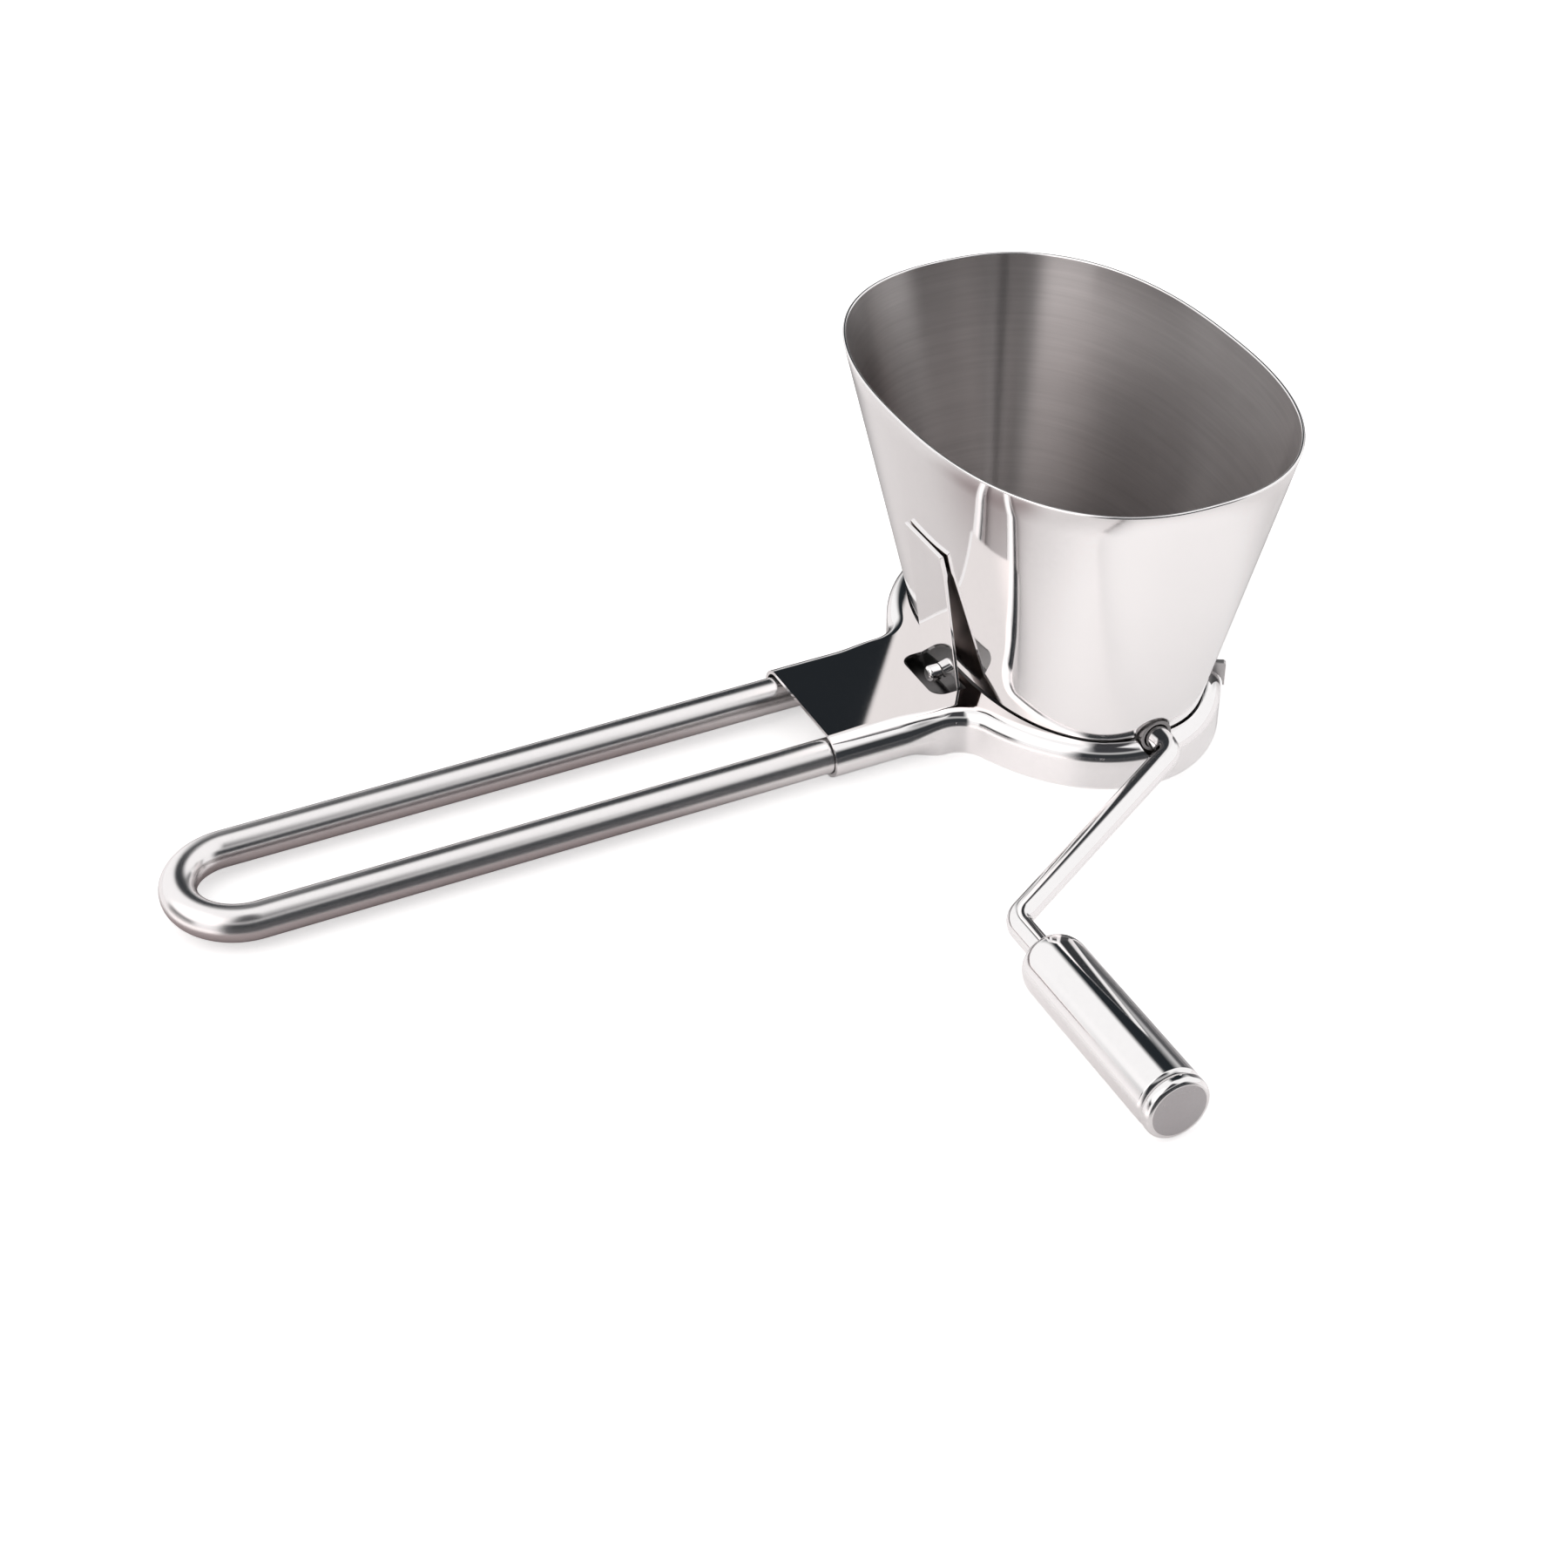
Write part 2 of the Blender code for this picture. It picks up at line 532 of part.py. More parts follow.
def hopper(parent, material):
    """Tapered oval shell, open at both ends, with a slot at each end of the shaft."""
    bottom = BASE_HEIGHT - FOOT_DEPTH
    foot_width = FOOT_HALF_WIDTH - SIDE_TAPER * FOOT_DEPTH
    foot_length = FOOT_HALF_LENGTH - END_TAPER * FOOT_DEPTH
    rings = [oval(foot_width, foot_length, bottom, OVAL_POWER),
             oval(RIM_HALF_WIDTH, RIM_HALF_LENGTH, RIM_HEIGHT, OVAL_POWER),
             oval(RIM_HALF_WIDTH - SHEET, RIM_HALF_LENGTH - SHEET, RIM_HEIGHT, OVAL_POWER),
             oval(foot_width - SHEET, foot_length - SHEET, bottom, OVAL_POWER)]
    shell = mesh_object("hopper", loft(rings), parent, material)
    outline = [(NOTCH_RADIUS, 0.0)]
    for step in range(ROUND_STEPS // 2 + 1):
        angle = 2 * math.pi * step / ROUND_STEPS
        outline.append((NOTCH_RADIUS * math.cos(angle), SHAFT_HEIGHT + NOTCH_RADIUS * math.sin(angle)))
    outline.append((-NOTCH_RADIUS, 0.0))
    cut(shell, mesh_object("hopper_slot_cutter", extrude_along_y(outline, RIM_HALF_LENGTH), parent))


def hopper_side(height):
    """Half width of the hopper's outside at a height."""
    return FOOT_HALF_WIDTH + SIDE_TAPER * (height - BASE_HEIGHT)


def tongue_face(height):
    """Face of the tongue towards the hopper: along the hopper above, leaning clear of it below."""
    pad_height = TONGUE_TOP - TONGUE_PAD
    if height >= pad_height:
        return -hopper_side(height) - FIT_GAP
    foot_face = -FOOT_HALF_WIDTH - TONGUE_STANDOFF
    lean = (-hopper_side(pad_height) - FIT_GAP - foot_face) / (pad_height - BASE_HEIGHT)
    return foot_face + lean * (height - BASE_HEIGHT)


def latch_tongue(parent, material, pivot):
    heights = (BASE_HEIGHT - TONGUE_FOOT, TONGUE_TOP - TONGUE_PAD, TONGUE_TOP)
    inner = [(tongue_face(height) - pivot.x, height - pivot.z) for height in heights]
    outer = [(x - SHEET, z) for x, z in inner]
    mesh_object("latch_tongue", extrude_along_y(inner + outer[::-1], TONGUE_WIDTH / 2), parent, material)


def catch_pin(parent, material, pivot):
    """Round-headed pin on the tongue's outer face, standing in the base plate's window."""
    start = tongue_face(BASE_HEIGHT) - SHEET - FIT_GAP
    profile = [(0, 0), (CATCH_RADIUS, 0)]
    for step in range(EDGE_STEPS):
        angle = math.pi / 2 * step / (EDGE_STEPS - 1)
        profile.append((CATCH_RADIUS - CATCH_ROUNDING * (1 - math.cos(angle)),
                        CATCH_LENGTH - CATCH_ROUNDING * (1 - math.sin(angle))))
    profile.append((0, CATCH_LENGTH))
    pin = mesh_object("catch_pin", turned(profile, False), parent, material)
    pin.location = (start - pivot.x, 0.0, BASE_HEIGHT - pivot.z)
    pin.rotation_euler = (0.0, 0.0, math.pi / 2)


# Crank, in its own frame: shaft along Y through the origin, crank arm towards -X

def crank_wire(parent, material):
    """One wire bent into the shaft, the crank arm and the grip's spindle."""
    spindle_end = GRIP_POCKET_FLOOR + FIT_GAP + SPINDLE_WASHER_THICKNESS + SPINDLE_TAIL
    corners = [Vector((0, SHAFT_REAR_END - FIT_GAP - SHEET, 0)),
               Vector((0, -CRANK_CORNER, 0)),
               Vector((-CRANK_RADIUS, -CRANK_FOOT, 0)),
               Vector((-CRANK_RADIUS, -spindle_end, 0))]
    wire_object("crank_wire", bent_route(corners, CRANK_BEND), WIRE_RADIUS, parent, material)


def agitator(parent, material):
    """Hub tube on the shaft with long fins that sweep the sieve trough."""
    half_fin = AGITATOR_FIN / 2
    fin_edge = math.asin(half_fin / AGITATOR_RADIUS)
    fin_root = math.asin(half_fin / HUB_RADIUS)
    spread = 2 * math.pi / AGITATOR_FINS
    angles, star = [], []
    for fin in range(AGITATOR_FINS):
        middle = fin * spread
        valley = spread - 2 * fin_root
        for offset, radius in ((-fin_root, HUB_RADIUS), (-fin_edge, AGITATOR_RADIUS),
                               (fin_edge, AGITATOR_RADIUS), (fin_root, HUB_RADIUS),
                               (fin_root + valley / 3, HUB_RADIUS), (fin_root + valley * 2 / 3, HUB_RADIUS)):
            angles.append(middle + offset)
            star.append(radius)

    def ring(radii, along):
        return [Vector((r * math.cos(a), along, r * math.sin(a))) for r, a in zip(radii, angles)]

    hub = [HUB_RADIUS] * len(angles)
    bore = [WIRE_RADIUS + RUNNING_GAP] * len(angles)
    rings = [ring(hub, -HUB_HALF_LENGTH), ring(hub, -FIN_HALF_LENGTH), ring(star, -FIN_HALF_LENGTH),
             ring(star, FIN_HALF_LENGTH), ring(hub, FIN_HALF_LENGTH), ring(hub, HUB_HALF_LENGTH),
             ring(bore, HUB_HALF_LENGTH), ring(bore, -HUB_HALF_LENGTH)]
    mesh_object("agitator", loft(rings), parent, material)


def thrust_washers(parent, material):
    start = HUB_HALF_LENGTH + FIT_GAP
    profile = sleeve_profile(WIRE_RADIUS + RUNNING_GAP, HUB_RADIUS, start, start + WASHER_THICKNESS)
    for name, side in (("thrust_washer_front", -1), ("thrust_washer_rear", 1)):
        mesh_object(name, turned([(r, side * along) for r, along in profile], True), parent, material)


def shaft_cap(parent, material):
    """Push-on cap that holds the shaft's rear end."""
    start = BUSH_OUTER_END + FIT_GAP
    floor = SHAFT_REAR_END - SHEET
    bore = WIRE_RADIUS + RUNNING_GAP
    profile = [(bore, start), (BUSH_RADIUS, start), (BUSH_RADIUS, SHAFT_REAR_END), (0, SHAFT_REAR_END),
               (0, floor), (bore, floor)]
    shape = turned(profile + profile[:1], False)
    mesh_object("shaft_cap", shape, parent, material)


def spindle_washer(parent, material):
    """Push-on washer that keeps the grip on its spindle."""
    start = -GRIP_POCKET_FLOOR - FIT_GAP
    end = start - SPINDLE_WASHER_THICKNESS
    profile = sleeve_profile(WIRE_RADIUS + RUNNING_GAP, GRIP_POCKET - FIT_GAP, end, start)
    mesh_object("spindle_washer", turned(profile, True), parent, material, (-CRANK_RADIUS, 0, 0))


# Grip, in its own frame: axis along Y through the origin

def crank_grip(parent, material):
    """Turning sleeve with a rounded inner end, a groove by its cap and a pocket for the washer."""
    profile = [(GRIP_BORE, -GRIP_START), (GRIP_NOSE_RADIUS, -GRIP_START)]
    for step in range(EDGE_STEPS + 1):
        angle = math.pi / 2 * step / EDGE_STEPS
        profile.append((GRIP_NOSE_RADIUS + (GRIP_RADIUS - GRIP_NOSE_RADIUS) * math.sin(angle),
                        -GRIP_START - GRIP_SHOULDER * (1 - math.cos(angle))))
    del profile[2]
    profile += [(GRIP_RADIUS, -GRIP_END + GRIP_GROOVE), (GRIP_RADIUS - GRIP_GROOVE, -GRIP_END),
                (GRIP_POCKET, -GRIP_END), (GRIP_POCKET, -GRIP_POCKET_FLOOR), (GRIP_BORE, -GRIP_POCKET_FLOOR)]
    mesh_object("crank_grip", turned(profile, True), parent, material)


def grip_end_cap(parent, material):
    """Cap with a rounded edge, plugged into the grip's pocket."""
    seat = -GRIP_END - FIT_GAP
    face = seat - GRIP_CAP_LENGTH
    plug_end = -GRIP_END + GRIP_PLUG_LENGTH
    plug_radius = GRIP_POCKET - FIT_GAP
    profile = [(0, face)]
    for step in range(EDGE_STEPS + 1):
        angle = math.pi / 2 * step / EDGE_STEPS
        profile.append((GRIP_RADIUS - GRIP_CAP_ROUNDING * (1 - math.sin(angle)),
                        face + GRIP_CAP_ROUNDING * (1 - math.cos(angle))))
    profile += [(GRIP_RADIUS, seat - GRIP_GROOVE), (GRIP_RADIUS - GRIP_GROOVE, seat), (plug_radius, seat),
                (plug_radius, plug_end), (0, plug_end)]
    mesh_object("grip_end_cap", turned(profile, False), parent, material)


# Assembly

def stand_on_origin(assembly):
    """Shift everything so that the middle of the underside of the object's box is the origin."""
    bpy.context.view_layer.update()
    graph = bpy.context.evaluated_depsgraph_get()
    low = Vector((math.inf,) * 3)
    high = Vector((-math.inf,) * 3)
    for item in bpy.context.scene.objects:
        if item.hide_render or item.type == "EMPTY":
            continue
        evaluated = item.evaluated_get(graph)
        mesh = evaluated.to_mesh()
        for vertex in mesh.vertices:
            place = evaluated.matrix_world @ vertex.co
            low = Vector(map(min, low, place))
            high = Vector(map(max, high, place))
        evaluated.to_mesh_clear()
    assembly.location = (-(low.x + high.x) / 2, -(low.y + high.y) / 2, -low.z)
    bpy.context.view_layer.update()


def build():
    for item in list(bpy.data.objects):
        bpy.data.objects.remove(item, do_unlink=True)
    polished = metal("polished_steel", (0.86, 0.85, 0.85), 0.08)
    satin = metal("satin_steel", (0.62, 0.60, 0.60), 0.32)

    assembly = empty("assembly")
    base_frame(assembly, polished)
    handle_loop(assembly, polished)
    locating_lugs(assembly, satin)
    sieve_retainer(assembly, satin)
    sieve_pan(assembly, satin)
    sieve_mesh(assembly, satin)
    trough_ends(assembly, satin)
    shaft_bushes(assembly, satin)

    hopper(assembly, polished)
    pivot_height = TONGUE_TOP - TONGUE_PAD / 2
    pivot = Vector((tongue_face(pivot_height) - SHEET / 2, TONGUE_SHIFT, pivot_height))
    latch = empty("latch_axis", assembly, pivot)
    latch_tongue(latch, polished, pivot)
    catch_pin(latch, polished, pivot)

    crank = empty("crank_axis", assembly, (0, 0, SHAFT_HEIGHT), -CRANK_DROP)
    crank_wire(crank, polished)
    agitator(crank, satin)
    thrust_washers(crank, satin)
    shaft_cap(crank, polished)
    spindle_washer(crank, satin)

    grip = empty("grip_axis", crank, (-CRANK_RADIUS, 0, 0))
    crank_grip(grip, polished)
    grip_end_cap(grip, satin)
    stand_on_origin(assembly)


build()
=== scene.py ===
"""Looks of the hand-cranked flour sifter: finer metal over the CAD solids, steel finishes and a studio.

Every piece stands where its solid does. Sizes and places come from the solids' boxes and the joints' axes,
and only what a box can't tell is a named size here. Metres, Z up, handle along -X, crank shaft along Y.
"""

import json
import math
from collections import namedtuple

import bmesh
import bpy
from mathutils import Matrix, Vector


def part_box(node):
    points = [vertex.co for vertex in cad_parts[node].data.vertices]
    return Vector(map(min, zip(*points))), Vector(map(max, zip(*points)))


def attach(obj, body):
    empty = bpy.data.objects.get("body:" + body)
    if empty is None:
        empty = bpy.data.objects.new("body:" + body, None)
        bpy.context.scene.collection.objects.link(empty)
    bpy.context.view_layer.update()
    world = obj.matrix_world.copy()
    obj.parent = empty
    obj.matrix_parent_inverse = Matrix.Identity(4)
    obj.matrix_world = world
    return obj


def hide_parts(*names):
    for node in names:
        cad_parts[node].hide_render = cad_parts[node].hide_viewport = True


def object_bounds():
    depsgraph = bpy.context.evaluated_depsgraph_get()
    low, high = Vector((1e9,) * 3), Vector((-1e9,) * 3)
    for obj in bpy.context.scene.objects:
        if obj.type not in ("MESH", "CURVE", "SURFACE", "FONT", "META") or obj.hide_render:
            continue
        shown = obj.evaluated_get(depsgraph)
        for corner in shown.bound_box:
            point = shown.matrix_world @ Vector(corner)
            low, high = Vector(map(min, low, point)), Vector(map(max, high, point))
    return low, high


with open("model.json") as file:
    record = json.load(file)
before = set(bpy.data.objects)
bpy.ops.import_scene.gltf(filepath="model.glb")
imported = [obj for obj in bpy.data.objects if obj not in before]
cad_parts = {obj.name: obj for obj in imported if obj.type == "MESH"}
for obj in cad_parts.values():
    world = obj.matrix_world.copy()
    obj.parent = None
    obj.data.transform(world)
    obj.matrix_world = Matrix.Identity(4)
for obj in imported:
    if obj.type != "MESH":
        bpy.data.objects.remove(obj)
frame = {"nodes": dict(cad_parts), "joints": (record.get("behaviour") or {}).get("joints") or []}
cad_low, cad_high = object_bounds()

# Camera, fitted to the photo
CAMERA_PLACE = (-0.16941, -0.33978, 0.30121)
CAMERA_TURN = math.radians(26.0)        # seen from the handle's side of the crank
CAMERA_DROP = math.radians(36.7)        # looking down
CAMERA_LENS = 70.06                     # millimetres
SENSOR_WIDTH = 36.0                     # millimetres

# Sheet metal
SHEET = 0.0006
FIT_GAP = 0.0003
EDGE_BEVEL = 0.00012        # broken edges of cut sheet
SMALL_BEVEL = 0.00010       # broken edges of the small turned pieces
BEVEL_SEGMENTS = 3
FLAT_FACE_WEIGHT = 100      # how far flat faces keep their own direction beside a bevel
CREASE_ANGLE = math.radians(32.0)

# Steel finishes
BARE_STEEL = (0.93, 0.92, 0.92)
CLOUDS = (90, 90, 90)           # clouds to a metre, along each axis
WAVES = (28, 28, 28)            # waves to a metre
GRAIN = (2500, 2500, 2500)      # grains to a metre, on the satin that is hidden or turned
SATIN_DEPTH = 4e-6              # depth of satin's grain and lines
CLOUD_DETAIL = 5.0
LINE_DETAIL = 3.0
WAVE_DETAIL = 1.0
NOISE_ROUGHNESS = 0.6
BRUSH_TURN = 0.25               # turns the spread of reflections across the brushed lines
RUBBED_STARTS = (0.54, 0.62)    # pointiness over which an edge comes to count as rubbed
RUBBED_GAIN = 1.06              # rubbed edges against the metal round them
FRONT_STARTS = (-0.88, -0.76)   # outward X over which the hopper's side turns into its front
LEVEL_SHADE_STARTS = (0.985, 0.999)    # upward Z over which sheet comes to count as level and takes its painted shade
BACK_FACING = 0.5               # outward X from which a face of the tongue counts as its back, which takes the painted shade

# Hopper
OVAL_POWER = 2.4            # squareness of its oval, 2 is an ellipse
FOOT_HALF_WIDTH = 0.0197    # outside, at the top of the base plate
FOOT_HALF_LENGTH = 0.0331
NOTCH_RADIUS = 0.0032       # slot round each shaft bush

# Base frame
RING_SHOULDER = 0.0027      # outside of the base ring's round shoulder
SLEEVE_RADIUS = 0.0038      # outside of the neck's rolled edges
NECK_FILLET = 0.0055        # concave corner between neck and ring
SLEEVE_RUN_IN = 0.008       # length over which the ring's shoulder and skirt curl into a sleeve
WINDOW_REACH = 0.0044       # window beyond the tongue, towards the handle
WINDOW_PRESS = 0.0014       # window beyond the tongue, towards the hopper
WINDOW_ROUNDING = 0.0024
TONGUE_PAD = 0.004          # upper stretch that lies along the hopper
PAD_WELD = 0.00018          # weld that fills most of the gap behind that stretch
TONGUE_STANDOFF = 0.0024    # tongue clear of the hopper's foot

# Crank and grip
WIRE_RADIUS = 0.00205
CRANK_BEND = 0.004          # bend radius on the wire's centre line
CRANK_STANDOFF = 0.0031     # corner of the crank beyond the front of the base ring
CRANK_LEAN = 0.5635         # outward run of the crank's arm for each unit of the crank's radius
GRIP_SHOULDER = 0.0040      # length of the grip's round inner end
GRIP_NOSE_RADIUS = 0.0028
GRIP_GROOVE = 0.0005
GRIP_BORE = 0.00225
GRIP_POCKET = 0.0036
GRIP_POCKET_DEPTH = 0.005
CAP_ROUNDING = 0.0009

# Sieve net
NET_WIRE = 0.00012          # radius of the woven wire
NET_PITCH = 0.0011          # between two wires

# Facets
OVAL_POINTS = 288
LEVELS = 12
ROUND_STEPS = 96
EDGE_STEPS = 14
WIRE_SIDES = 40
BEND_STEPS = 24
NET_SIDES = 6
HALVINGS = 60               # rounds of the search for the neck's corner
POLE_MERGE = 1e-7           # distance at which points of a turned shape merge, on its axis
COPY_MERGE = 1e-6           # distance at which points of a copied solid merge
LEVEL_ANGLE = math.radians(0.5)     # under which facets of a copied solid are one flat face

# Floor, which the metal sees in another way than the camera does
WHITE = (1.0, 1.0, 1.0)
FLOOR_HALF_WIDTH = 6.0
FLOOR_WHITE = (0.95, 0.945, 0.94)       # for the camera
FLOOR_COLOUR = (0.90, 0.875, 0.87)      # for the metal and for the light it throws back
FLOOR_ROUGHNESS = 0.9
FLOOR_GLOW = 0.5                        # keeps the floor white round its soft shadow, for the camera only
FLOOR_CARD_GLOW = 0.27                  # of a white card in front of the hopper, for all but the camera
FLOOR_CARD_MIDDLE = (0.070, -0.022, 0.0)
FLOOR_CARD_RADIUS = 0.062
FLOOR_CARD_SOFTNESS = 0.025
SHEEN_COLOUR = (0.95, 0.93, 0.93)       # floor's sheen at low angles, which only the metal sees
SHEEN_ROUGHNESS = 0.22
SHEEN_STARTS = (0.32, 0.64)             # slant of the view over which the sheen comes in
HANDLE_SHADOW_COLOUR = (0.46, 0.40, 0.40)       # painted shadow under the handle, which only the metal sees
HANDLE_SHADOW_END = 0.006                       # its edge towards the hopper, under the handle's middle line
HANDLE_SHADOW_SLANT = 0.8                       # that edge's run along X for each unit along Y, on the near side
HANDLE_SHADOW_HALF_WIDTH = 0.040
HANDLE_SHADOW_SOFTNESS = 0.020

# Studio round it, as the metal sees it; angles in degrees, azimuth counted from +X towards +Y
WALL_LIGHT = (1.0, 0.99, 0.99)
Card = namedtuple("Card", "azimuth half_width lowest highest softness colour")
CARDS = (
    Card(62, 21, 6, 58, 9, (0.018, 0.022, 0.026)),          # behind, to the right
    Card(36, 13, -12, 16, 6, (0.100, 0.100, 0.105)),        # low on the right
    Card(-93, 45, -20, 33, 9, (0.035, 0.038, 0.042)),       # round the camera
    Card(-98, 30, 38, 85, 10, (0.050, 0.050, 0.055)),       # above the camera
    Card(182, 38, 18, 62, 10, (1.45, 1.38, 1.37)),          # light panel on the left
    Card(166, 22, -10, 11, 5, (0.080, 0.078, 0.080)),       # below that panel
)

# Places read from the frame
HOPPER_LOW, HOPPER_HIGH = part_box("hopper")
BASE_LOW, BASE_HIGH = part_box("base_frame")
LOOP_LOW, LOOP_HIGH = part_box("handle_loop")
TONGUE_LOW, TONGUE_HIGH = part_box("latch_tongue")
WIRE_LOW, WIRE_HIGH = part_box("crank_wire")
GRIP_LOW, GRIP_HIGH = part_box("crank_grip")
CAP_LOW, CAP_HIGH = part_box("grip_end_cap")
NET_LOW, NET_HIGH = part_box("sieve_mesh")
JOINT_PLACE = {joint["name"]: Vector(joint.get("pos_m", (0, 0, 0))) for joint in frame["joints"]}

MIDDLE = Vector(((HOPPER_LOW.x + HOPPER_HIGH.x) / 2, (HOPPER_LOW.y + HOPPER_HIGH.y) / 2, 0.0))
REST_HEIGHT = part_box("sieve_retainer")[0].z
PLATE_TOP = BASE_HIGH.z
RIM_HALF_WIDTH = (HOPPER_HIGH.x - HOPPER_LOW.x) / 2
RIM_HALF_LENGTH = (HOPPER_HIGH.y - HOPPER_LOW.y) / 2
RIM_RISE = HOPPER_HIGH.z - PLATE_TOP
SIDE_TAPER = (RIM_HALF_WIDTH - FOOT_HALF_WIDTH) / RIM_RISE
END_TAPER = (RIM_HALF_LENGTH - FOOT_HALF_LENGTH) / RIM_RISE
RING_HALF_WIDTH = BASE_HIGH.x - MIDDLE.x
RING_HALF_LENGTH = (BASE_HIGH.y - BASE_LOW.y) / 2
ROD_RADIUS = (LOOP_HIGH.z - LOOP_LOW.z) / 2
ROD_HEIGHT = (LOOP_HIGH.z + LOOP_LOW.z) / 2
ROD_HALF_SPACING = (LOOP_HIGH.y - LOOP_LOW.y) / 2 - ROD_RADIUS
NECK_HALF_WIDTH = ROD_HALF_SPACING + SLEEVE_RADIUS
SHAFT_PLACE = JOINT_PLACE["crank_turn"]
GRIP_PLACE = JOINT_PLACE["grip_turn"]
CRANK_ARM = GRIP_PLACE - SHAFT_PLACE
TONGUE_MIDDLE = (TONGUE_LOW.y + TONGUE_HIGH.y) / 2
TONGUE_HALF_WIDTH = (TONGUE_HIGH.y - TONGUE_LOW.y) / 2
TONGUE_FOOT_FACE = MIDDLE.x - FOOT_HALF_WIDTH - TONGUE_STANDOFF     # towards the hopper, at the plate's top
PAD_HEIGHT = TONGUE_HIGH.z - TONGUE_PAD
GRIP_RADIUS = (GRIP_HIGH.z - GRIP_LOW.z) / 2


# Node materials

def new_material(name):
    """A node material, with its nodes and its links."""
    material = bpy.data.materials.new(name)
    material.use_nodes = True
    return material, material.node_tree.nodes, material.node_tree.links


def add_node(nodes, kind, **inputs):
    """Add a node and set its input sockets by name, with spaces written as underscores."""
    node = nodes.new(kind)
    for socket, value in inputs.items():
        node.inputs[socket.replace("_", " ")].default_value = value
    return node


def stretched_noise(nodes, links, stretch, detail):
    """Noise in the object's own metres, with a count per metre along each axis."""
    place = nodes.new("ShaderNodeTexCoord")
    mapping = add_node(nodes, "ShaderNodeMapping", Scale=stretch)
    noise = add_node(nodes, "ShaderNodeTexNoise", Scale=1.0, Detail=detail, Roughness=NOISE_ROUGHNESS)
    links.new(place.outputs["Object"], mapping.inputs["Vector"])
    links.new(mapping.outputs["Vector"], noise.inputs["Vector"])
    return noise.outputs["Fac"]


def spread(nodes, links, source, low, high, start=0.3, end=0.7):
    """Map a range of a source, a noise's middle range unless told otherwise, to a range of values."""
    remap = add_node(nodes, "ShaderNodeMapRange", From_Min=start, From_Max=end, To_Min=low, To_Max=high)
    links.new(source, remap.inputs["Value"])
    return remap.outputs["Result"]


def mix_colours(nodes, links, share, first, second):
    """Mix two colours, each a socket or three numbers, and give the mixed socket."""
    mix = nodes.new("ShaderNodeMix")
    mix.data_type = "RGBA"
    links.new(share, mix.inputs["Factor"])
    sockets = [socket for socket in mix.inputs if socket.type == "RGBA"]
    for socket, colour in zip(sockets, (first, second)):
        if isinstance(colour, bpy.types.NodeSocket):
            links.new(colour, socket)
        else:
            socket.default_value = (*colour, 1.0)
    return [socket for socket in mix.outputs if socket.type == "RGBA"][0]


def step_node(nodes, links, value, start, end):
    """Smooth step from 0 at start to 1 at end, which may be the smaller one."""
    node = add_node(nodes, "ShaderNodeMapRange", From_Min=start, From_Max=end)
    node.interpolation_type = "SMOOTHSTEP"
    links.new(value, node.inputs["Value"])
    return node.outputs["Result"]


def within(nodes, links, value, edge, softness):
    """1 below an edge and 0 above it, with a soft step between."""
    return step_node(nodes, links, value, edge + softness, edge - softness)


def math_node(nodes, links, operation, first, second=None):
    """Work out one value from one or two sockets."""
    node = nodes.new("ShaderNodeMath")
    node.operation = operation
    links.new(first, node.inputs[0])
    if second is not None:
        links.new(second, node.inputs[1])
    return node.outputs["Value"]


def shaded(colour, gain):
    """A colour made darker or brighter, up to full white."""
    return [min(value * gain, 1.0) for value in colour]


def steel_tint(nodes, links, colour, cloud_shade, line_shade, clouds, lines, pointiness):
    """Steel's colour, with its clouds and lines and its rubbed edges."""
    clear = spread(nodes, links, clouds, 0.0, 1.0)
    unlined = spread(nodes, links, lines, 0.0, 1.0)
    rubbed = spread(nodes, links, pointiness, 0.0, 1.0, *RUBBED_STARTS)
    tint = mix_colours(nodes, links, clear, shaded(colour, cloud_shade), colour)
    tint = mix_colours(nodes, links, unlined, shaded(colour, line_shade), tint)
    return mix_colours(nodes, links, rubbed, tint, shaded(colour, RUBBED_GAIN))


def steel_relief(nodes, links, lines, hairline_depth, wave_depth):
    """Hairlines with a slight wave over them, as a normal."""
    waves = stretched_noise(nodes, links, WAVES, WAVE_DETAIL)
    line_bump = add_node(nodes, "ShaderNodeBump", Strength=1.0, Distance=hairline_depth)
    wave_bump = add_node(nodes, "ShaderNodeBump", Strength=1.0, Distance=wave_depth)
    links.new(lines, line_bump.inputs["Height"])
    links.new(waves, wave_bump.inputs["Height"])
    links.new(line_bump.outputs["Normal"], wave_bump.inputs["Normal"])
    return wave_bump.outputs["Normal"]


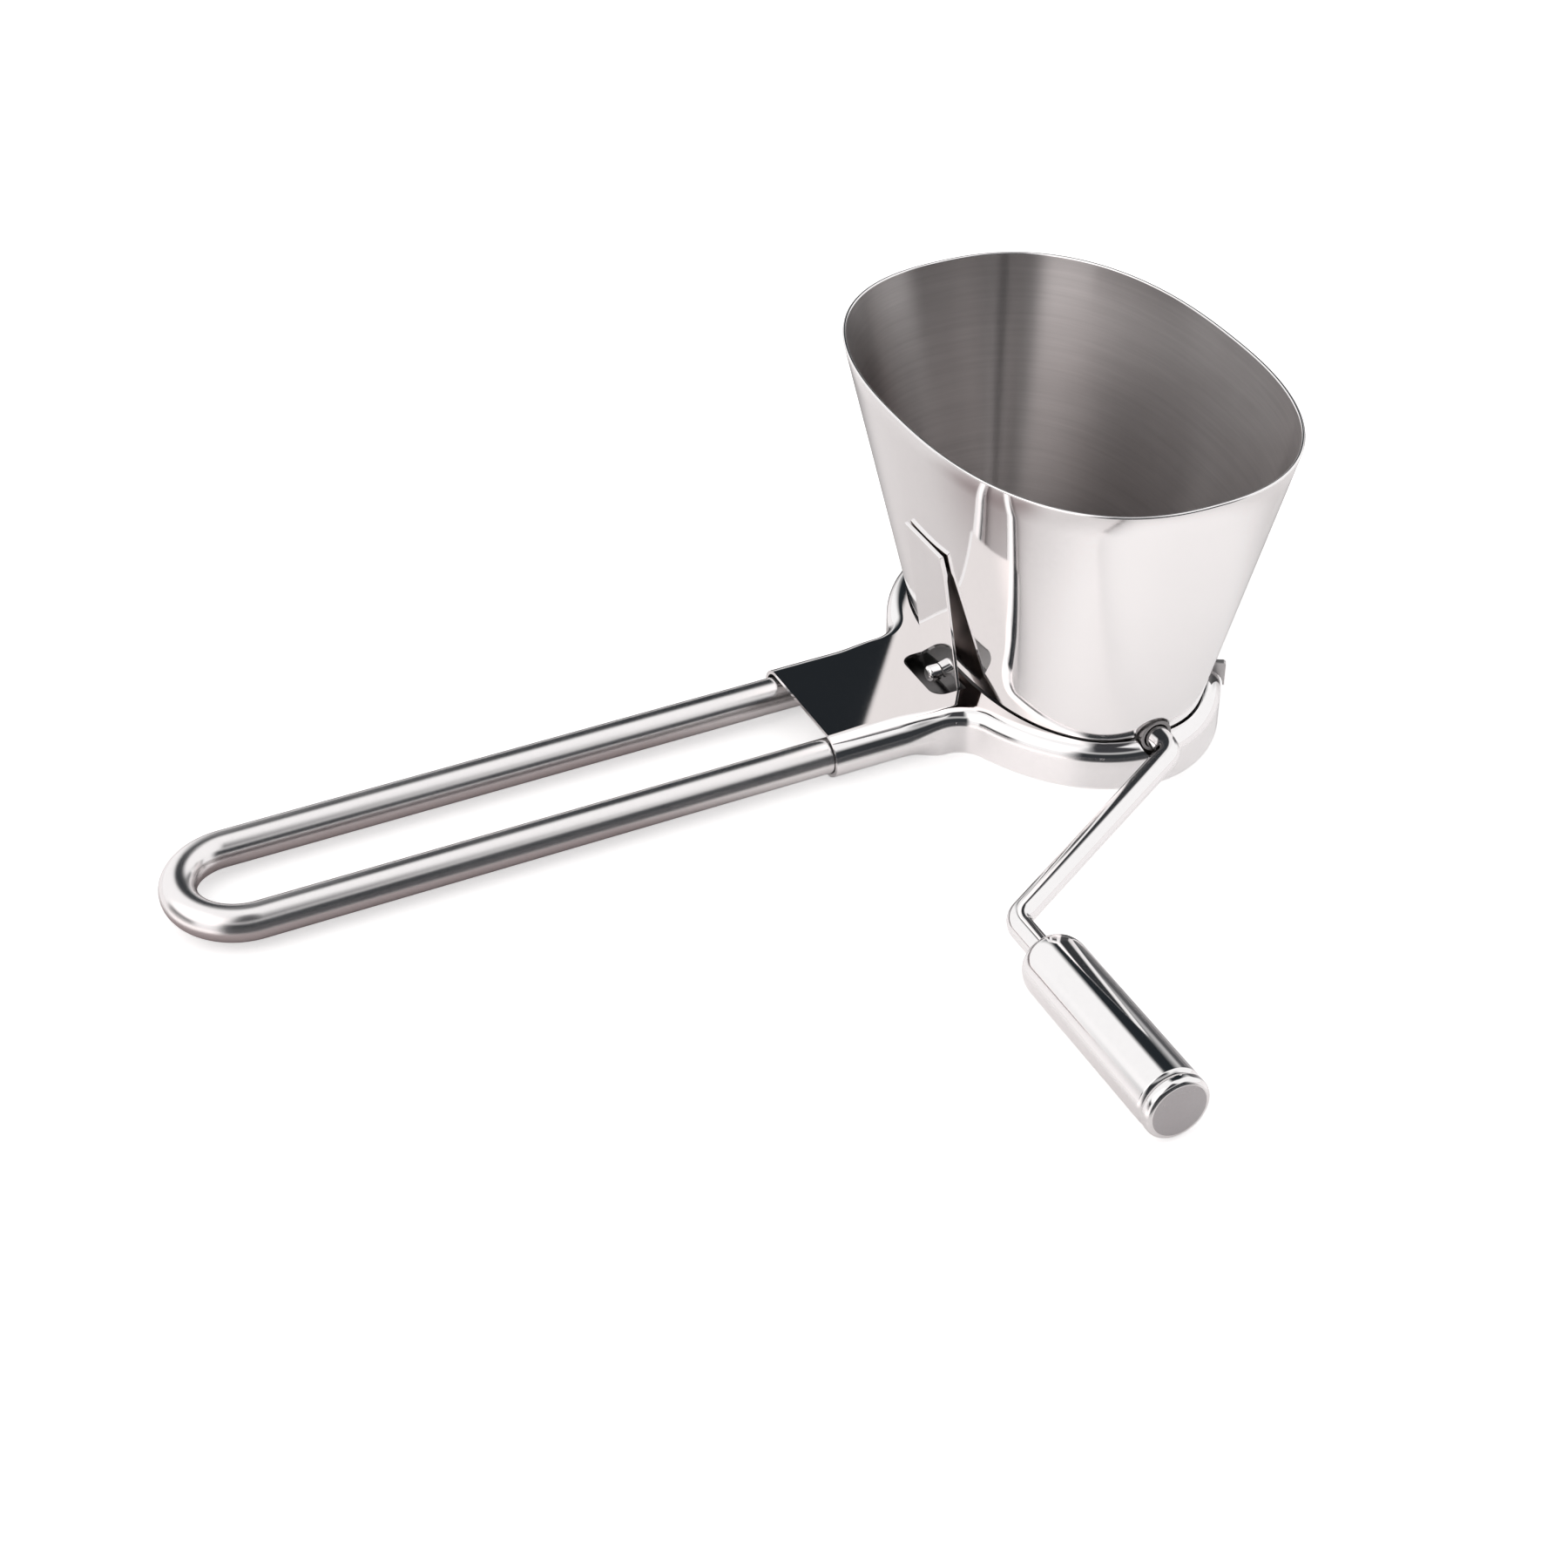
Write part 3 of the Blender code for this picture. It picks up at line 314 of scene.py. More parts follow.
def steel(name, colour, roughness, cloud_shade=0.97, hairlines=(900, 900, 900), hairline_depth=8e-7,
          wave_depth=0.0, brushing=0.0, line_shade=1.0, front_roughness=None, level_shade_colour=None):
    """Bare stainless steel: clouded tint and roughness, fine hairlines, a slight wave and rubbed edges.

    Brushing spreads reflections up and down, as lines drawn round an upright wall do, and the lines may be
    darker by line_shade. A front_roughness is for all but the side towards the handle, and a
    level_shade_colour paints shade on level sheet, a darker and pinker tone than the steel's own.
    """
    material, nodes, links = new_material(name)
    shader = nodes["Principled BSDF"]
    shader.inputs["Metallic"].default_value = 1.0
    shader.inputs["Anisotropic"].default_value = brushing
    shader.inputs["Anisotropic Rotation"].default_value = BRUSH_TURN
    around = nodes.new("ShaderNodeTangent")
    around.direction_type = "RADIAL"
    around.axis = "Z"
    links.new(around.outputs["Tangent"], shader.inputs["Tangent"])

    clouds = stretched_noise(nodes, links, CLOUDS, CLOUD_DETAIL)
    lines = stretched_noise(nodes, links, hairlines, LINE_DETAIL)
    shape = nodes.new("ShaderNodeNewGeometry")
    facing = nodes.new("ShaderNodeSeparateXYZ")
    links.new(shape.outputs["True Normal"], facing.inputs["Vector"])

    tint = steel_tint(nodes, links, colour, cloud_shade, line_shade, clouds, lines,
                      shape.outputs["Pointiness"])
    # Painted shade: sheet that faces straight up is given a darker, pinker colour.
    if level_shade_colour:
        level_shade_share = step_node(nodes, links, facing.outputs["Z"], *LEVEL_SHADE_STARTS)
        tint = mix_colours(nodes, links, level_shade_share, tint, level_shade_colour)
    links.new(tint, shader.inputs["Base Color"])

    rough = spread(nodes, links, clouds, *roughness)
    if front_roughness:
        blend = nodes.new("ShaderNodeMix")
        links.new(step_node(nodes, links, facing.outputs["X"], *FRONT_STARTS), blend.inputs["Factor"])
        links.new(rough, blend.inputs["A"])
        links.new(spread(nodes, links, clouds, *front_roughness), blend.inputs["B"])
        rough = blend.outputs["Result"]
    links.new(rough, shader.inputs["Roughness"])
    relief = steel_relief(nodes, links, lines, hairline_depth, wave_depth)
    links.new(relief, shader.inputs["Normal"])
    return material


def grained_steel(name, colour, roughness, cloud_shade):
    """Satin steel whose grain runs no one way."""
    return steel(name, colour, roughness, cloud_shade, hairlines=GRAIN, hairline_depth=SATIN_DEPTH)


POLISHED = steel("polished_steel", BARE_STEEL, (0.05, 0.08), wave_depth=2e-5)
HOPPER_OUTSIDE = steel("polished_hopper", BARE_STEEL, (0.045, 0.06), wave_depth=1e-5,
                       front_roughness=(0.08, 0.11))
# The level top of the base carries painted shade, a darker and pinker colour than the bare steel.
BASE_POLISH = steel("polished_base", BARE_STEEL, (0.05, 0.07), wave_depth=1e-5,
                    level_shade_colour=(0.84, 0.80, 0.79))
ROD_POLISH = steel("polished_rod", (0.92, 0.90, 0.90), (0.20, 0.25), wave_depth=1e-5)
BRUSHED_INSIDE = steel("brushed_steel_inside", (0.68, 0.65, 0.645), (0.28, 0.31), hairlines=(40, 40, 1300),
                       hairline_depth=5e-7, brushing=1.0, line_shade=0.88)
SATIN = steel("satin_steel", (0.70, 0.68, 0.68), (0.22, 0.36), cloud_shade=0.9, hairlines=(5000, 300, 5000),
              hairline_depth=SATIN_DEPTH, wave_depth=2e-5)
# Painted shade: pieces deep inside (bushes, trough ends, agitator, washers, net) take a dark colour for the
# shade they sit in.
SHADED_SATIN = grained_steel("satin_steel_painted_shade", (0.34, 0.33, 0.33), (0.30, 0.42), 0.85)
# Painted shade: the sieve pan under the tongue's window is near black for the dark hollow it lies in.
DEEP_SHADE_SATIN = grained_steel("satin_steel_painted_deep_shade", (0.17, 0.165, 0.165), (0.30, 0.42), 0.85)
# Painted shade: the tongue's back, in the narrow gap by the hopper, is rougher steel in a dark brown colour
# that stands in for the shade of that gap.
GAP_SHADE_BACK = grained_steel("steel_back_painted_gap_shade", (0.26, 0.20, 0.18), (0.34, 0.46), 0.8)
TURNED_FACE = grained_steel("turned_steel", (0.57, 0.555, 0.565), (0.24, 0.34), 0.92)


# Pieces

def add_piece(name, shape, body, nodes, materials, place=None):
    """Turn a bmesh into a piece that rides on a body and stands for the named CAD nodes."""
    bmesh.ops.recalc_face_normals(shape, faces=shape.faces[:])
    mesh = bpy.data.meshes.new(name)
    shape.to_mesh(mesh)
    shape.free()
    mesh.shade_smooth()
    mesh.set_sharp_from_angle(angle=CREASE_ANGLE)
    piece = bpy.data.objects.new(name, mesh)
    bpy.context.scene.collection.objects.link(piece)
    piece.matrix_world = place or Matrix.Identity(4)
    for material in materials:
        mesh.materials.append(material)
    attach(piece, body)
    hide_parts(*nodes)
    return piece


def cut_away(piece, cutters):
    """Cut closed shapes out of a piece and keep the finished mesh."""
    tools = []
    for number, shape in enumerate(cutters):
        mesh = bpy.data.meshes.new("cutter")
        bmesh.ops.recalc_face_normals(shape, faces=shape.faces[:])
        shape.to_mesh(mesh)
        shape.free()
        cutter = bpy.data.objects.new("cutter", mesh)
        bpy.context.scene.collection.objects.link(cutter)
        tool = piece.modifiers.new("cut_" + str(number), "BOOLEAN")
        tool.operation = "DIFFERENCE"
        tool.solver = "EXACT"
        tool.object = cutter
        tools.append(cutter)
    graph = bpy.context.evaluated_depsgraph_get()
    finished = bpy.data.meshes.new_from_object(piece.evaluated_get(graph), depsgraph=graph)
    piece.modifiers.clear()
    piece.data = finished
    finished.set_sharp_from_angle(angle=CREASE_ANGLE)
    for cutter in tools:
        bpy.data.objects.remove(cutter, do_unlink=True)


def break_edges(piece, width):
    """Round the sharp edges a little and keep flat faces flat in reflections."""
    bevel = piece.modifiers.new("broken_edges", "BEVEL")
    bevel.width = width
    bevel.segments = BEVEL_SEGMENTS
    bevel.limit_method = "ANGLE"
    bevel.angle_limit = CREASE_ANGLE
    bevel.harden_normals = False
    normals = piece.modifiers.new("flat_faces", "WEIGHTED_NORMAL")
    normals.weight = FLAT_FACE_WEIGHT
    normals.keep_sharp = False


# Shapes

def quarter(first=0.0):
    """Angles round a quarter turn, counted from the first."""
    return [first + math.pi / 2 * step / EDGE_STEPS for step in range(EDGE_STEPS + 1)]


def oval(half_width, half_length, height):
    """Level oval round the hopper's middle, counted from +X."""
    points = []
    for step in range(OVAL_POINTS):
        angle = 2 * math.pi * step / OVAL_POINTS
        across = math.copysign(abs(math.cos(angle)) ** (2 / OVAL_POWER), math.cos(angle))
        along = math.copysign(abs(math.sin(angle)) ** (2 / OVAL_POWER), math.sin(angle))
        points.append(MIDDLE + Vector((half_width * across, half_length * along, height)))
    return points


def skin(rows, closed=False, caps=False, finishes=None):
    """Skin rows of points that go round; each band between two rows may have its own finish number."""
    shape = bmesh.new()
    rings = [[shape.verts.new(point) for point in row] for row in rows]
    pairs = list(zip(rings, rings[1:]))
    if closed:
        pairs.append((rings[-1], rings[0]))
    for band, (near, far) in enumerate(pairs):
        for here in range(len(near)):
            beyond = (here + 1) % len(near)
            face = shape.faces.new((near[here], near[beyond], far[beyond], far[here]))
            face.material_index = finishes[band] if finishes else 0
    if caps:
        shape.faces.new(rings[0])
        shape.faces.new(rings[-1])
    return shape


def turned(profile, closed=False, finishes=None):
    """Turn a profile of (radius, distance along Y) points about the Y axis; radius 0 closes an end."""
    rows = []
    for radius, along in profile:
        row = []
        for step in range(ROUND_STEPS):
            angle = 2 * math.pi * step / ROUND_STEPS
            row.append(Vector((radius * math.cos(angle), along, radius * math.sin(angle))))
        rows.append(row)
    shape = skin(rows, closed=closed, finishes=finishes)
    bmesh.ops.remove_doubles(shape, verts=shape.verts[:], dist=POLE_MERGE)
    return shape


def tube(points, radius, sides=WIRE_SIDES):
    """A round wire along points, with a frame carried along so that it never twists."""
    rows = []
    side = None
    for number, point in enumerate(points):
        before = points[max(number - 1, 0)]
        after = points[min(number + 1, len(points) - 1)]
        along = (after - before).normalized()
        if side is None:
            side = along.orthogonal().normalized()
        side = (side - along * side.dot(along)).normalized()
        other = along.cross(side)
        row = []
        for step in range(sides):
            angle = 2 * math.pi * step / sides
            row.append(point + (side * math.cos(angle) + other * math.sin(angle)) * radius)
        rows.append(row)
    return skin(rows, caps=True)


def bent_route(corners, bend_radius):
    """Points of a wire that runs straight between corners and turns round each of them."""
    points = [corners[0]]
    for before, corner, after in zip(corners, corners[1:], corners[2:]):
        incoming = (corner - before).normalized()
        outgoing = (after - corner).normalized()
        turn = incoming.angle(outgoing)
        start = corner - incoming * (bend_radius * math.tan(turn / 2))
        inward = (outgoing - incoming * incoming.dot(outgoing)).normalized()
        centre = start + inward * bend_radius
        for step in range(BEND_STEPS + 1):
            angle = turn * step / BEND_STEPS
            points.append(centre - inward * (bend_radius * math.cos(angle))
                          + incoming * (bend_radius * math.sin(angle)))
    points.append(corners[-1])
    return points


def block(low, high):
    """Box between two corners."""
    shape = bmesh.new()
    bmesh.ops.create_cube(shape, size=1.0)
    bmesh.ops.scale(shape, verts=shape.verts[:], vec=Vector(high) - Vector(low))
    bmesh.ops.translate(shape, verts=shape.verts[:], vec=(Vector(high) + Vector(low)) / 2)
    return shape


# Hopper

def shaft_slot():
    """Cutter for the two slots over the shaft bushes, open below."""
    outline = [(NOTCH_RADIUS, -SLEEVE_RADIUS * 2)]
    for step in range(EDGE_STEPS * 2 + 1):
        angle = math.pi * step / (EDGE_STEPS * 2)
        outline.append((NOTCH_RADIUS * math.cos(angle), NOTCH_RADIUS * math.sin(angle)))
    outline.append((-NOTCH_RADIUS, -SLEEVE_RADIUS * 2))
    rows = []
    for along in (-RIM_HALF_LENGTH, RIM_HALF_LENGTH):
        rows.append([SHAFT_PLACE + Vector((x, along, z)) for x, z in outline])
    return skin(rows, caps=True)


def hopper_row(height, inset):
    """Points round the hopper's wall at one height."""
    rise = height - PLATE_TOP
    half_width = FOOT_HALF_WIDTH + SIDE_TAPER * rise - inset
    half_length = FOOT_HALF_LENGTH + END_TAPER * rise - inset
    return oval(half_width, half_length, height)


def make_hopper():
    """Tapered oval shell with a rounded rim, polished outside and brushed inside."""
    rounding = SHEET / 2
    top = HOPPER_HIGH.z - rounding
    rows = []
    for step in range(LEVELS + 1):
        rows.append(hopper_row(HOPPER_LOW.z + (top - HOPPER_LOW.z) * step / LEVELS, 0.0))
    for step in range(1, EDGE_STEPS):
        angle = math.pi * step / EDGE_STEPS
        half_width = RIM_HALF_WIDTH - SIDE_TAPER * rounding - rounding * (1 - math.cos(angle))
        half_length = RIM_HALF_LENGTH - END_TAPER * rounding - rounding * (1 - math.cos(angle))
        rows.append(oval(half_width, half_length, top + rounding * math.sin(angle)))
    for step in range(LEVELS + 1):
        rows.append(hopper_row(top + (HOPPER_LOW.z - top) * step / LEVELS, SHEET))
    outside = LEVELS + EDGE_STEPS - 1
    finishes = [0] * outside + [1] * (len(rows) - outside)
    shell = add_piece("hopper_shell", skin(rows, closed=True, finishes=finishes), "hopper", ["hopper"],
                      [HOPPER_OUTSIDE, BRUSHED_INSIDE])
    cut_away(shell, [shaft_slot()])


# Base frame

def ring_point(angle):
    """Point and outward direction on the base ring's outline, from the hopper's middle."""
    point = Vector((RING_HALF_WIDTH * math.cos(angle), RING_HALF_LENGTH * math.sin(angle)))
    outward = Vector((math.cos(angle) / RING_HALF_WIDTH, math.sin(angle) / RING_HALF_LENGTH))
    return point, outward.normalized()


def fillet_angle():
    """Place on the ring where the concave corner to the neck starts, found by halving."""
    low, high = math.pi / 2, math.pi
    for _ in range(HALVINGS):
        middle = (low + high) / 2
        point, outward = ring_point(middle)
        if point.y + NECK_FILLET * outward.y > NECK_HALF_WIDTH + NECK_FILLET:
            low = middle
        else:
            high = middle
    return middle


def base_outline():
    """Keyhole outline as (point, outward direction, share of sleeve curl), counted round."""
    start = fillet_angle()
    upper = []
    ring_steps = OVAL_POINTS // 3
    for step in range(ring_steps + 1):
        upper.append((*ring_point(start * step / ring_steps), 0.0))
    point, outward = ring_point(start)
    centre = point + outward * NECK_FILLET
    first = math.atan2(-outward.y, -outward.x)
    last = -math.pi / 2
    for step in range(1, EDGE_STEPS + 1):
        angle = first + (last - first) * step / EDGE_STEPS
        away = Vector((math.cos(angle), math.sin(angle)))
        upper.append((centre + away * NECK_FILLET, -away, 0.0))
    for step in range(1, EDGE_STEPS + 1):
        share = step / EDGE_STEPS
        curl = share * share * (3 - 2 * share)
        upper.append((Vector((centre.x - SLEEVE_RUN_IN * share, NECK_HALF_WIDTH)), Vector((0, 1)), curl))
    # A round end beyond the neck closes the outline; the neck is cut off square before it.
    neck_end = BASE_LOW.x - MIDDLE.x - NECK_HALF_WIDTH
    for angle in quarter(math.pi / 2):
        away = Vector((math.cos(angle), math.sin(angle)))
        upper.append((Vector((neck_end, 0)) + away * NECK_HALF_WIDTH, away, 1.0))
    mirrored = [(Vector((p.x, -p.y)), Vector((n.x, -n.y)), c) for p, n, c in upper[1:-1]]
    return upper + mirrored[::-1]


def edge_section(depth, curl):
    """Section of the rolled edge as (inset, height): over the shoulder, then down or under the rod."""
    bend = RING_SHOULDER + (SLEEVE_RADIUS - RING_SHOULDER) * curl
    radius = bend - depth
    under_radius = SLEEVE_RADIUS - depth
    section = []
    for angle in reversed(quarter()):
        section.append((bend - radius * math.cos(angle), PLATE_TOP - bend + radius * math.sin(angle)))
    for step, angle in enumerate(quarter()):
        skirt = (depth, ROD_HEIGHT + (REST_HEIGHT - ROD_HEIGHT) * step / EDGE_STEPS)
        under = (SLEEVE_RADIUS - under_radius * math.cos(angle),
                 ROD_HEIGHT - under_radius * math.sin(angle))
        section.append(tuple(a + (b - a) * curl for a, b in zip(skirt, under)))
    return section


def window_cutter():
    """Block of the tongue's window, with round corners on the handle's side."""
    inner_edge = TONGUE_FOOT_FACE + WINDOW_PRESS
    outer_edge = TONGUE_FOOT_FACE - SHEET - WINDOW_REACH
    half = TONGUE_HALF_WIDTH + FIT_GAP
    outline = [(inner_edge, half)]
    for side, first in ((1, math.pi / 2), (-1, math.pi)):
        for angle in quarter(first):
            outline.append((outer_edge + WINDOW_ROUNDING * (1 + math.cos(angle)),
                            side * (half - WINDOW_ROUNDING) + WINDOW_ROUNDING * math.sin(angle)))
    outline.append((inner_edge, -half))
    rows = []
    for height in (PLATE_TOP - SLEEVE_RADIUS, PLATE_TOP + SLEEVE_RADIUS):
        rows.append([Vector((x, TONGUE_MIDDLE + y, height)) for x, y in outline])
    return skin(rows, caps=True)


def make_base_frame():
    """One stamping: base ring with its skirt, and a neck whose edges roll round the handle's legs."""
    outline = base_outline()
    sections = []
    for _, _, curl in outline:
        sections.append(edge_section(0.0, curl) + edge_section(SHEET, curl)[::-1])
    rows = []
    for number in range(len(sections[0])):
        row = []
        for (point, outward, _), section in zip(outline, sections):
            inset, height = section[number]
            place = point - outward * inset
            row.append(Vector((MIDDLE.x + place.x, MIDDLE.y + place.y, height)))
        rows.append(row)
    pressing = add_piece("base_pressing", skin(rows, caps=True), "base", ["base_frame"], [BASE_POLISH])
    reach = 2 * NECK_HALF_WIDTH
    neck_cutter = block((BASE_LOW.x - 2 * reach, MIDDLE.y - reach, -reach),
                        (BASE_LOW.x, MIDDLE.y + reach, PLATE_TOP + reach))
    mouth_cutter = skin([oval(FOOT_HALF_WIDTH + FIT_GAP, FOOT_HALF_LENGTH + FIT_GAP, height)
                         for height in (PLATE_TOP - SLEEVE_RADIUS, PLATE_TOP + SLEEVE_RADIUS)], caps=True)
    notch = turned([(0, -2 * RING_HALF_LENGTH), (NOTCH_RADIUS, -2 * RING_HALF_LENGTH),
                    (NOTCH_RADIUS, 2 * RING_HALF_LENGTH), (0, 2 * RING_HALF_LENGTH)])
    bmesh.ops.translate(notch, verts=notch.verts[:], vec=SHAFT_PLACE)
    cut_away(pressing, [neck_cutter, mouth_cutter, window_cutter(), notch])
    break_edges(pressing, EDGE_BEVEL)


def make_handle():
    """One rod bent into a loop, with both legs ending inside the neck's sleeves."""
    bend_centre = LOOP_LOW.x + ROD_RADIUS + ROD_HALF_SPACING
    points = [Vector((LOOP_HIGH.x, MIDDLE.y + ROD_HALF_SPACING, ROD_HEIGHT))]
    for step in range(ROUND_STEPS + 1):
        angle = math.pi / 2 + math.pi * step / ROUND_STEPS
        points.append(Vector((bend_centre + ROD_HALF_SPACING * math.cos(angle),
                              MIDDLE.y + ROD_HALF_SPACING * math.sin(angle), ROD_HEIGHT)))
    points.append(Vector((LOOP_HIGH.x, MIDDLE.y - ROD_HALF_SPACING, ROD_HEIGHT)))
    add_piece("handle_rod", tube(points, ROD_RADIUS), "base", ["handle_loop"], [ROD_POLISH])


# Latch

def beside_hopper(height):
    """Place of the tongue's pad along X, a gap away from the hopper's side."""
    return MIDDLE.x - FOOT_HALF_WIDTH - SIDE_TAPER * (height - PLATE_TOP) - FIT_GAP


def tongue_face(height):
    """Face of the tongue towards the hopper: along the hopper above, leaning clear of it below."""
    if height >= PAD_HEIGHT:
        return beside_hopper(height)
    lean = (beside_hopper(PAD_HEIGHT) - TONGUE_FOOT_FACE) / (PAD_HEIGHT - PLATE_TOP)
    return TONGUE_FOOT_FACE + lean * (height - PLATE_TOP)


def make_tongue():
    """Sprung strap with a soft bend below its welded pad."""
    face_line = []
    for step in range(LEVELS * 2 + 1):
        height = TONGUE_LOW.z + (TONGUE_HIGH.z - TONGUE_LOW.z) * step / (LEVELS * 2)
        face_line.append((tongue_face(height), height))
    outer_line = [(x - SHEET, height) for x, height in face_line[::-1]]
    welded_line = [(x + PAD_WELD if height > PAD_HEIGHT else x, height) for x, height in face_line]
    rows = []
    for along in (TONGUE_LOW.y, TONGUE_HIGH.y):
        rows.append([Vector((x, along, height)) for x, height in welded_line + outer_line])
    shape = skin(rows, caps=True)
    bmesh.ops.recalc_face_normals(shape, faces=shape.faces[:])
    # Faces on the back, towards the hopper, take the material with painted shade.
    for face in shape.faces:
        face.material_index = 1 if face.normal.x > BACK_FACING else 0
    strap = add_piece("tongue_strap", shape, "latch", ["latch_tongue"], [POLISHED, GAP_SHADE_BACK])
    break_edges(strap, EDGE_BEVEL)


def make_catch_pin():
    """Pin on the tongue with a rounded head towards the handle."""
    low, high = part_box("catch_pin")
    radius = (high.z - low.z) / 2
    length = high.x - low.x
    rounding = radius / 2
    profile = [(0, 0), (radius, 0)]
    for angle in quarter():
        profile.append((radius - rounding * (1 - math.cos(angle)),
                        length - rounding * (1 - math.sin(angle))))
    profile.append((0, length))
    middle = (low + high) / 2
    place = Matrix.Translation((high.x, middle.y, middle.z)) @ Matrix.Rotation(math.pi / 2, 4, "Z")
    add_piece("catch_rivet", turned(profile), "latch", ["catch_pin"], [POLISHED], place)


# Crank and grip

def leave_out_of_mirrors(piece):
    """The photo's bright hopper shows no image of the crank, so the metal doesn't mirror this piece."""
    piece.visible_glossy = False


def make_crank():
    """One wire bent into the shaft, the crank arm and the grip's spindle."""
    front = RING_HALF_LENGTH + CRANK_STANDOFF
    foot = front + CRANK_LEAN * CRANK_ARM.length
    corners = [Vector((0, WIRE_HIGH.y - SHAFT_PLACE.y, 0)),
               Vector((0, -front, 0)),
               CRANK_ARM + Vector((0, -foot, 0)),
               CRANK_ARM + Vector((0, WIRE_LOW.y - SHAFT_PLACE.y, 0))]
    points = [SHAFT_PLACE + point for point in bent_route(corners, CRANK_BEND)]
    rod = add_piece("crank_rod", tube(points, WIRE_RADIUS), "crank", ["crank_wire"], [POLISHED])
    leave_out_of_mirrors(rod)


def make_grip():
    """Turning sleeve with a round inner end, a groove by its cap and a pocket for its washer."""
    nose = GRIP_HIGH.y - GRIP_PLACE.y
    end = GRIP_LOW.y - GRIP_PLACE.y
    pocket_floor = end + GRIP_POCKET_DEPTH
    profile = [(GRIP_BORE, nose)]
    for angle in quarter():
        profile.append((GRIP_NOSE_RADIUS + (GRIP_RADIUS - GRIP_NOSE_RADIUS) * math.sin(angle),
                        nose - GRIP_SHOULDER * (1 - math.cos(angle))))
    profile += [(GRIP_RADIUS, end + GRIP_GROOVE), (GRIP_RADIUS - GRIP_GROOVE, end),
                (GRIP_POCKET, end), (GRIP_POCKET, pocket_floor), (GRIP_BORE, pocket_floor)]
    shape = turned(profile, closed=True)
    place = Matrix.Translation(GRIP_PLACE)
    sleeve = add_piece("grip_sleeve", shape, "grip", ["crank_grip"], [POLISHED], place)
    break_edges(sleeve, EDGE_BEVEL)
    leave_out_of_mirrors(sleeve)


def make_grip_cap():
    """Cap with a polished round edge and a turned face."""
    seat = GRIP_LOW.y - GRIP_PLACE.y - FIT_GAP
    face = CAP_LOW.y - GRIP_PLACE.y
    plug_end = CAP_HIGH.y - GRIP_PLACE.y
    plug = GRIP_POCKET - FIT_GAP
    profile = [(0, face)]
    for angle in quarter():
        profile.append((GRIP_RADIUS - CAP_ROUNDING * (1 - math.sin(angle)),
                        face + CAP_ROUNDING * (1 - math.cos(angle))))
    profile += [(GRIP_RADIUS, seat - GRIP_GROOVE), (GRIP_RADIUS - GRIP_GROOVE, seat), (plug, seat),
                (plug, plug_end), (0, plug_end)]
    shape = turned(profile, finishes=[1] + [0] * (len(profile) - 2))
    place = Matrix.Translation(GRIP_PLACE)
    cap = add_piece("grip_cap", shape, "grip", ["grip_end_cap"], [POLISHED, TURNED_FACE], place)
    break_edges(cap, SMALL_BEVEL)
    leave_out_of_mirrors(cap)


# Sieve and small pieces

def make_net():
    """Woven wire net in the place of the sieve's plain one."""
    radius = SHAFT_PLACE.z - NET_LOW.z - 2 * NET_WIRE
    half_angle = math.asin((NET_HIGH.x - NET_LOW.x) / 2 / (SHAFT_PLACE.z - NET_LOW.z))
    low, high = NET_LOW.y + NET_WIRE, NET_HIGH.y - NET_WIRE
    long_wires = int(2 * half_angle * radius / NET_PITCH) + 1
    cross_wires = int((high - low) / NET_PITCH) + 1
    cross_step = (high - low) / (cross_wires - 1)
    long_step = 2 * half_angle / (long_wires - 1)
    weave = bmesh.new()

    def point(angle, along, lift):
        reach = radius + lift
        across = reach * math.sin(angle)
        drop = reach * math.cos(angle)
        return Vector((SHAFT_PLACE.x + across, along, SHAFT_PLACE.z - drop))

    def wire(points):
        strand = tube(points, NET_WIRE, NET_SIDES)
        mesh = bpy.data.meshes.new("strand")
        strand.to_mesh(mesh)
        strand.free()
        weave.from_mesh(mesh)
        bpy.data.meshes.remove(mesh)

    for row in range(long_wires):
        points = []
        for step in range(2 * cross_wires - 1):
            lift = NET_WIRE * math.cos(math.pi * (step / 2 + row))
            points.append(point(-half_angle + row * long_step, low + cross_step * step / 2, lift))
        wire(points)
    for row in range(cross_wires):
        points = []
        for step in range(2 * long_wires - 1):
            lift = -NET_WIRE * math.cos(math.pi * (step / 2 + row))
            points.append(point(-half_angle + long_step * step / 2, low + cross_step * row, lift))
        wire(points)
    # The net takes the dark satin, with its painted shade.
    add_piece("sieve_net", weave, "base", ["sieve_mesh"], [SHADED_SATIN])


def make_soft_copy(node, body, material):
    """Copy a solid with its edges broken, so that they catch the light."""
    shape = bmesh.new()
    shape.from_mesh(frame["nodes"][node].data)
    bmesh.ops.remove_doubles(shape, verts=shape.verts[:], dist=COPY_MERGE)
    bmesh.ops.dissolve_limit(shape, angle_limit=LEVEL_ANGLE, verts=shape.verts[:], edges=shape.edges[:])
    for face in shape.faces:
        face.material_index = 0
    piece = add_piece(node + "_finished", shape, body, [node], [material])
    break_edges(piece, SMALL_BEVEL)


def make_small_pieces():
    """Lugs, bearings, sieve parts and agitator, whose solids have their shapes already."""
    for node in ("locating_lug_front", "locating_lug_rear", "sieve_retainer"):
        make_soft_copy(node, "base", SATIN)
    # Bushes and trough ends take the dark satin, whose colour is painted shade.
    for node in ("shaft_bush_front", "shaft_bush_rear", "trough_end_front", "trough_end_rear"):
        make_soft_copy(node, "base", SHADED_SATIN)
    # The pan's near-black colour is painted shade.
    make_soft_copy("sieve_pan", "base", DEEP_SHADE_SATIN)
    for node in ("shaft_cap", "spindle_washer"):
        make_soft_copy(node, "crank", SATIN)
    # Agitator and thrust washers take the dark satin too, with its painted shade.
    for node in ("agitator", "thrust_washer_front", "thrust_washer_rear"):
        make_soft_copy(node, "crank", SHADED_SATIN)


# Studio

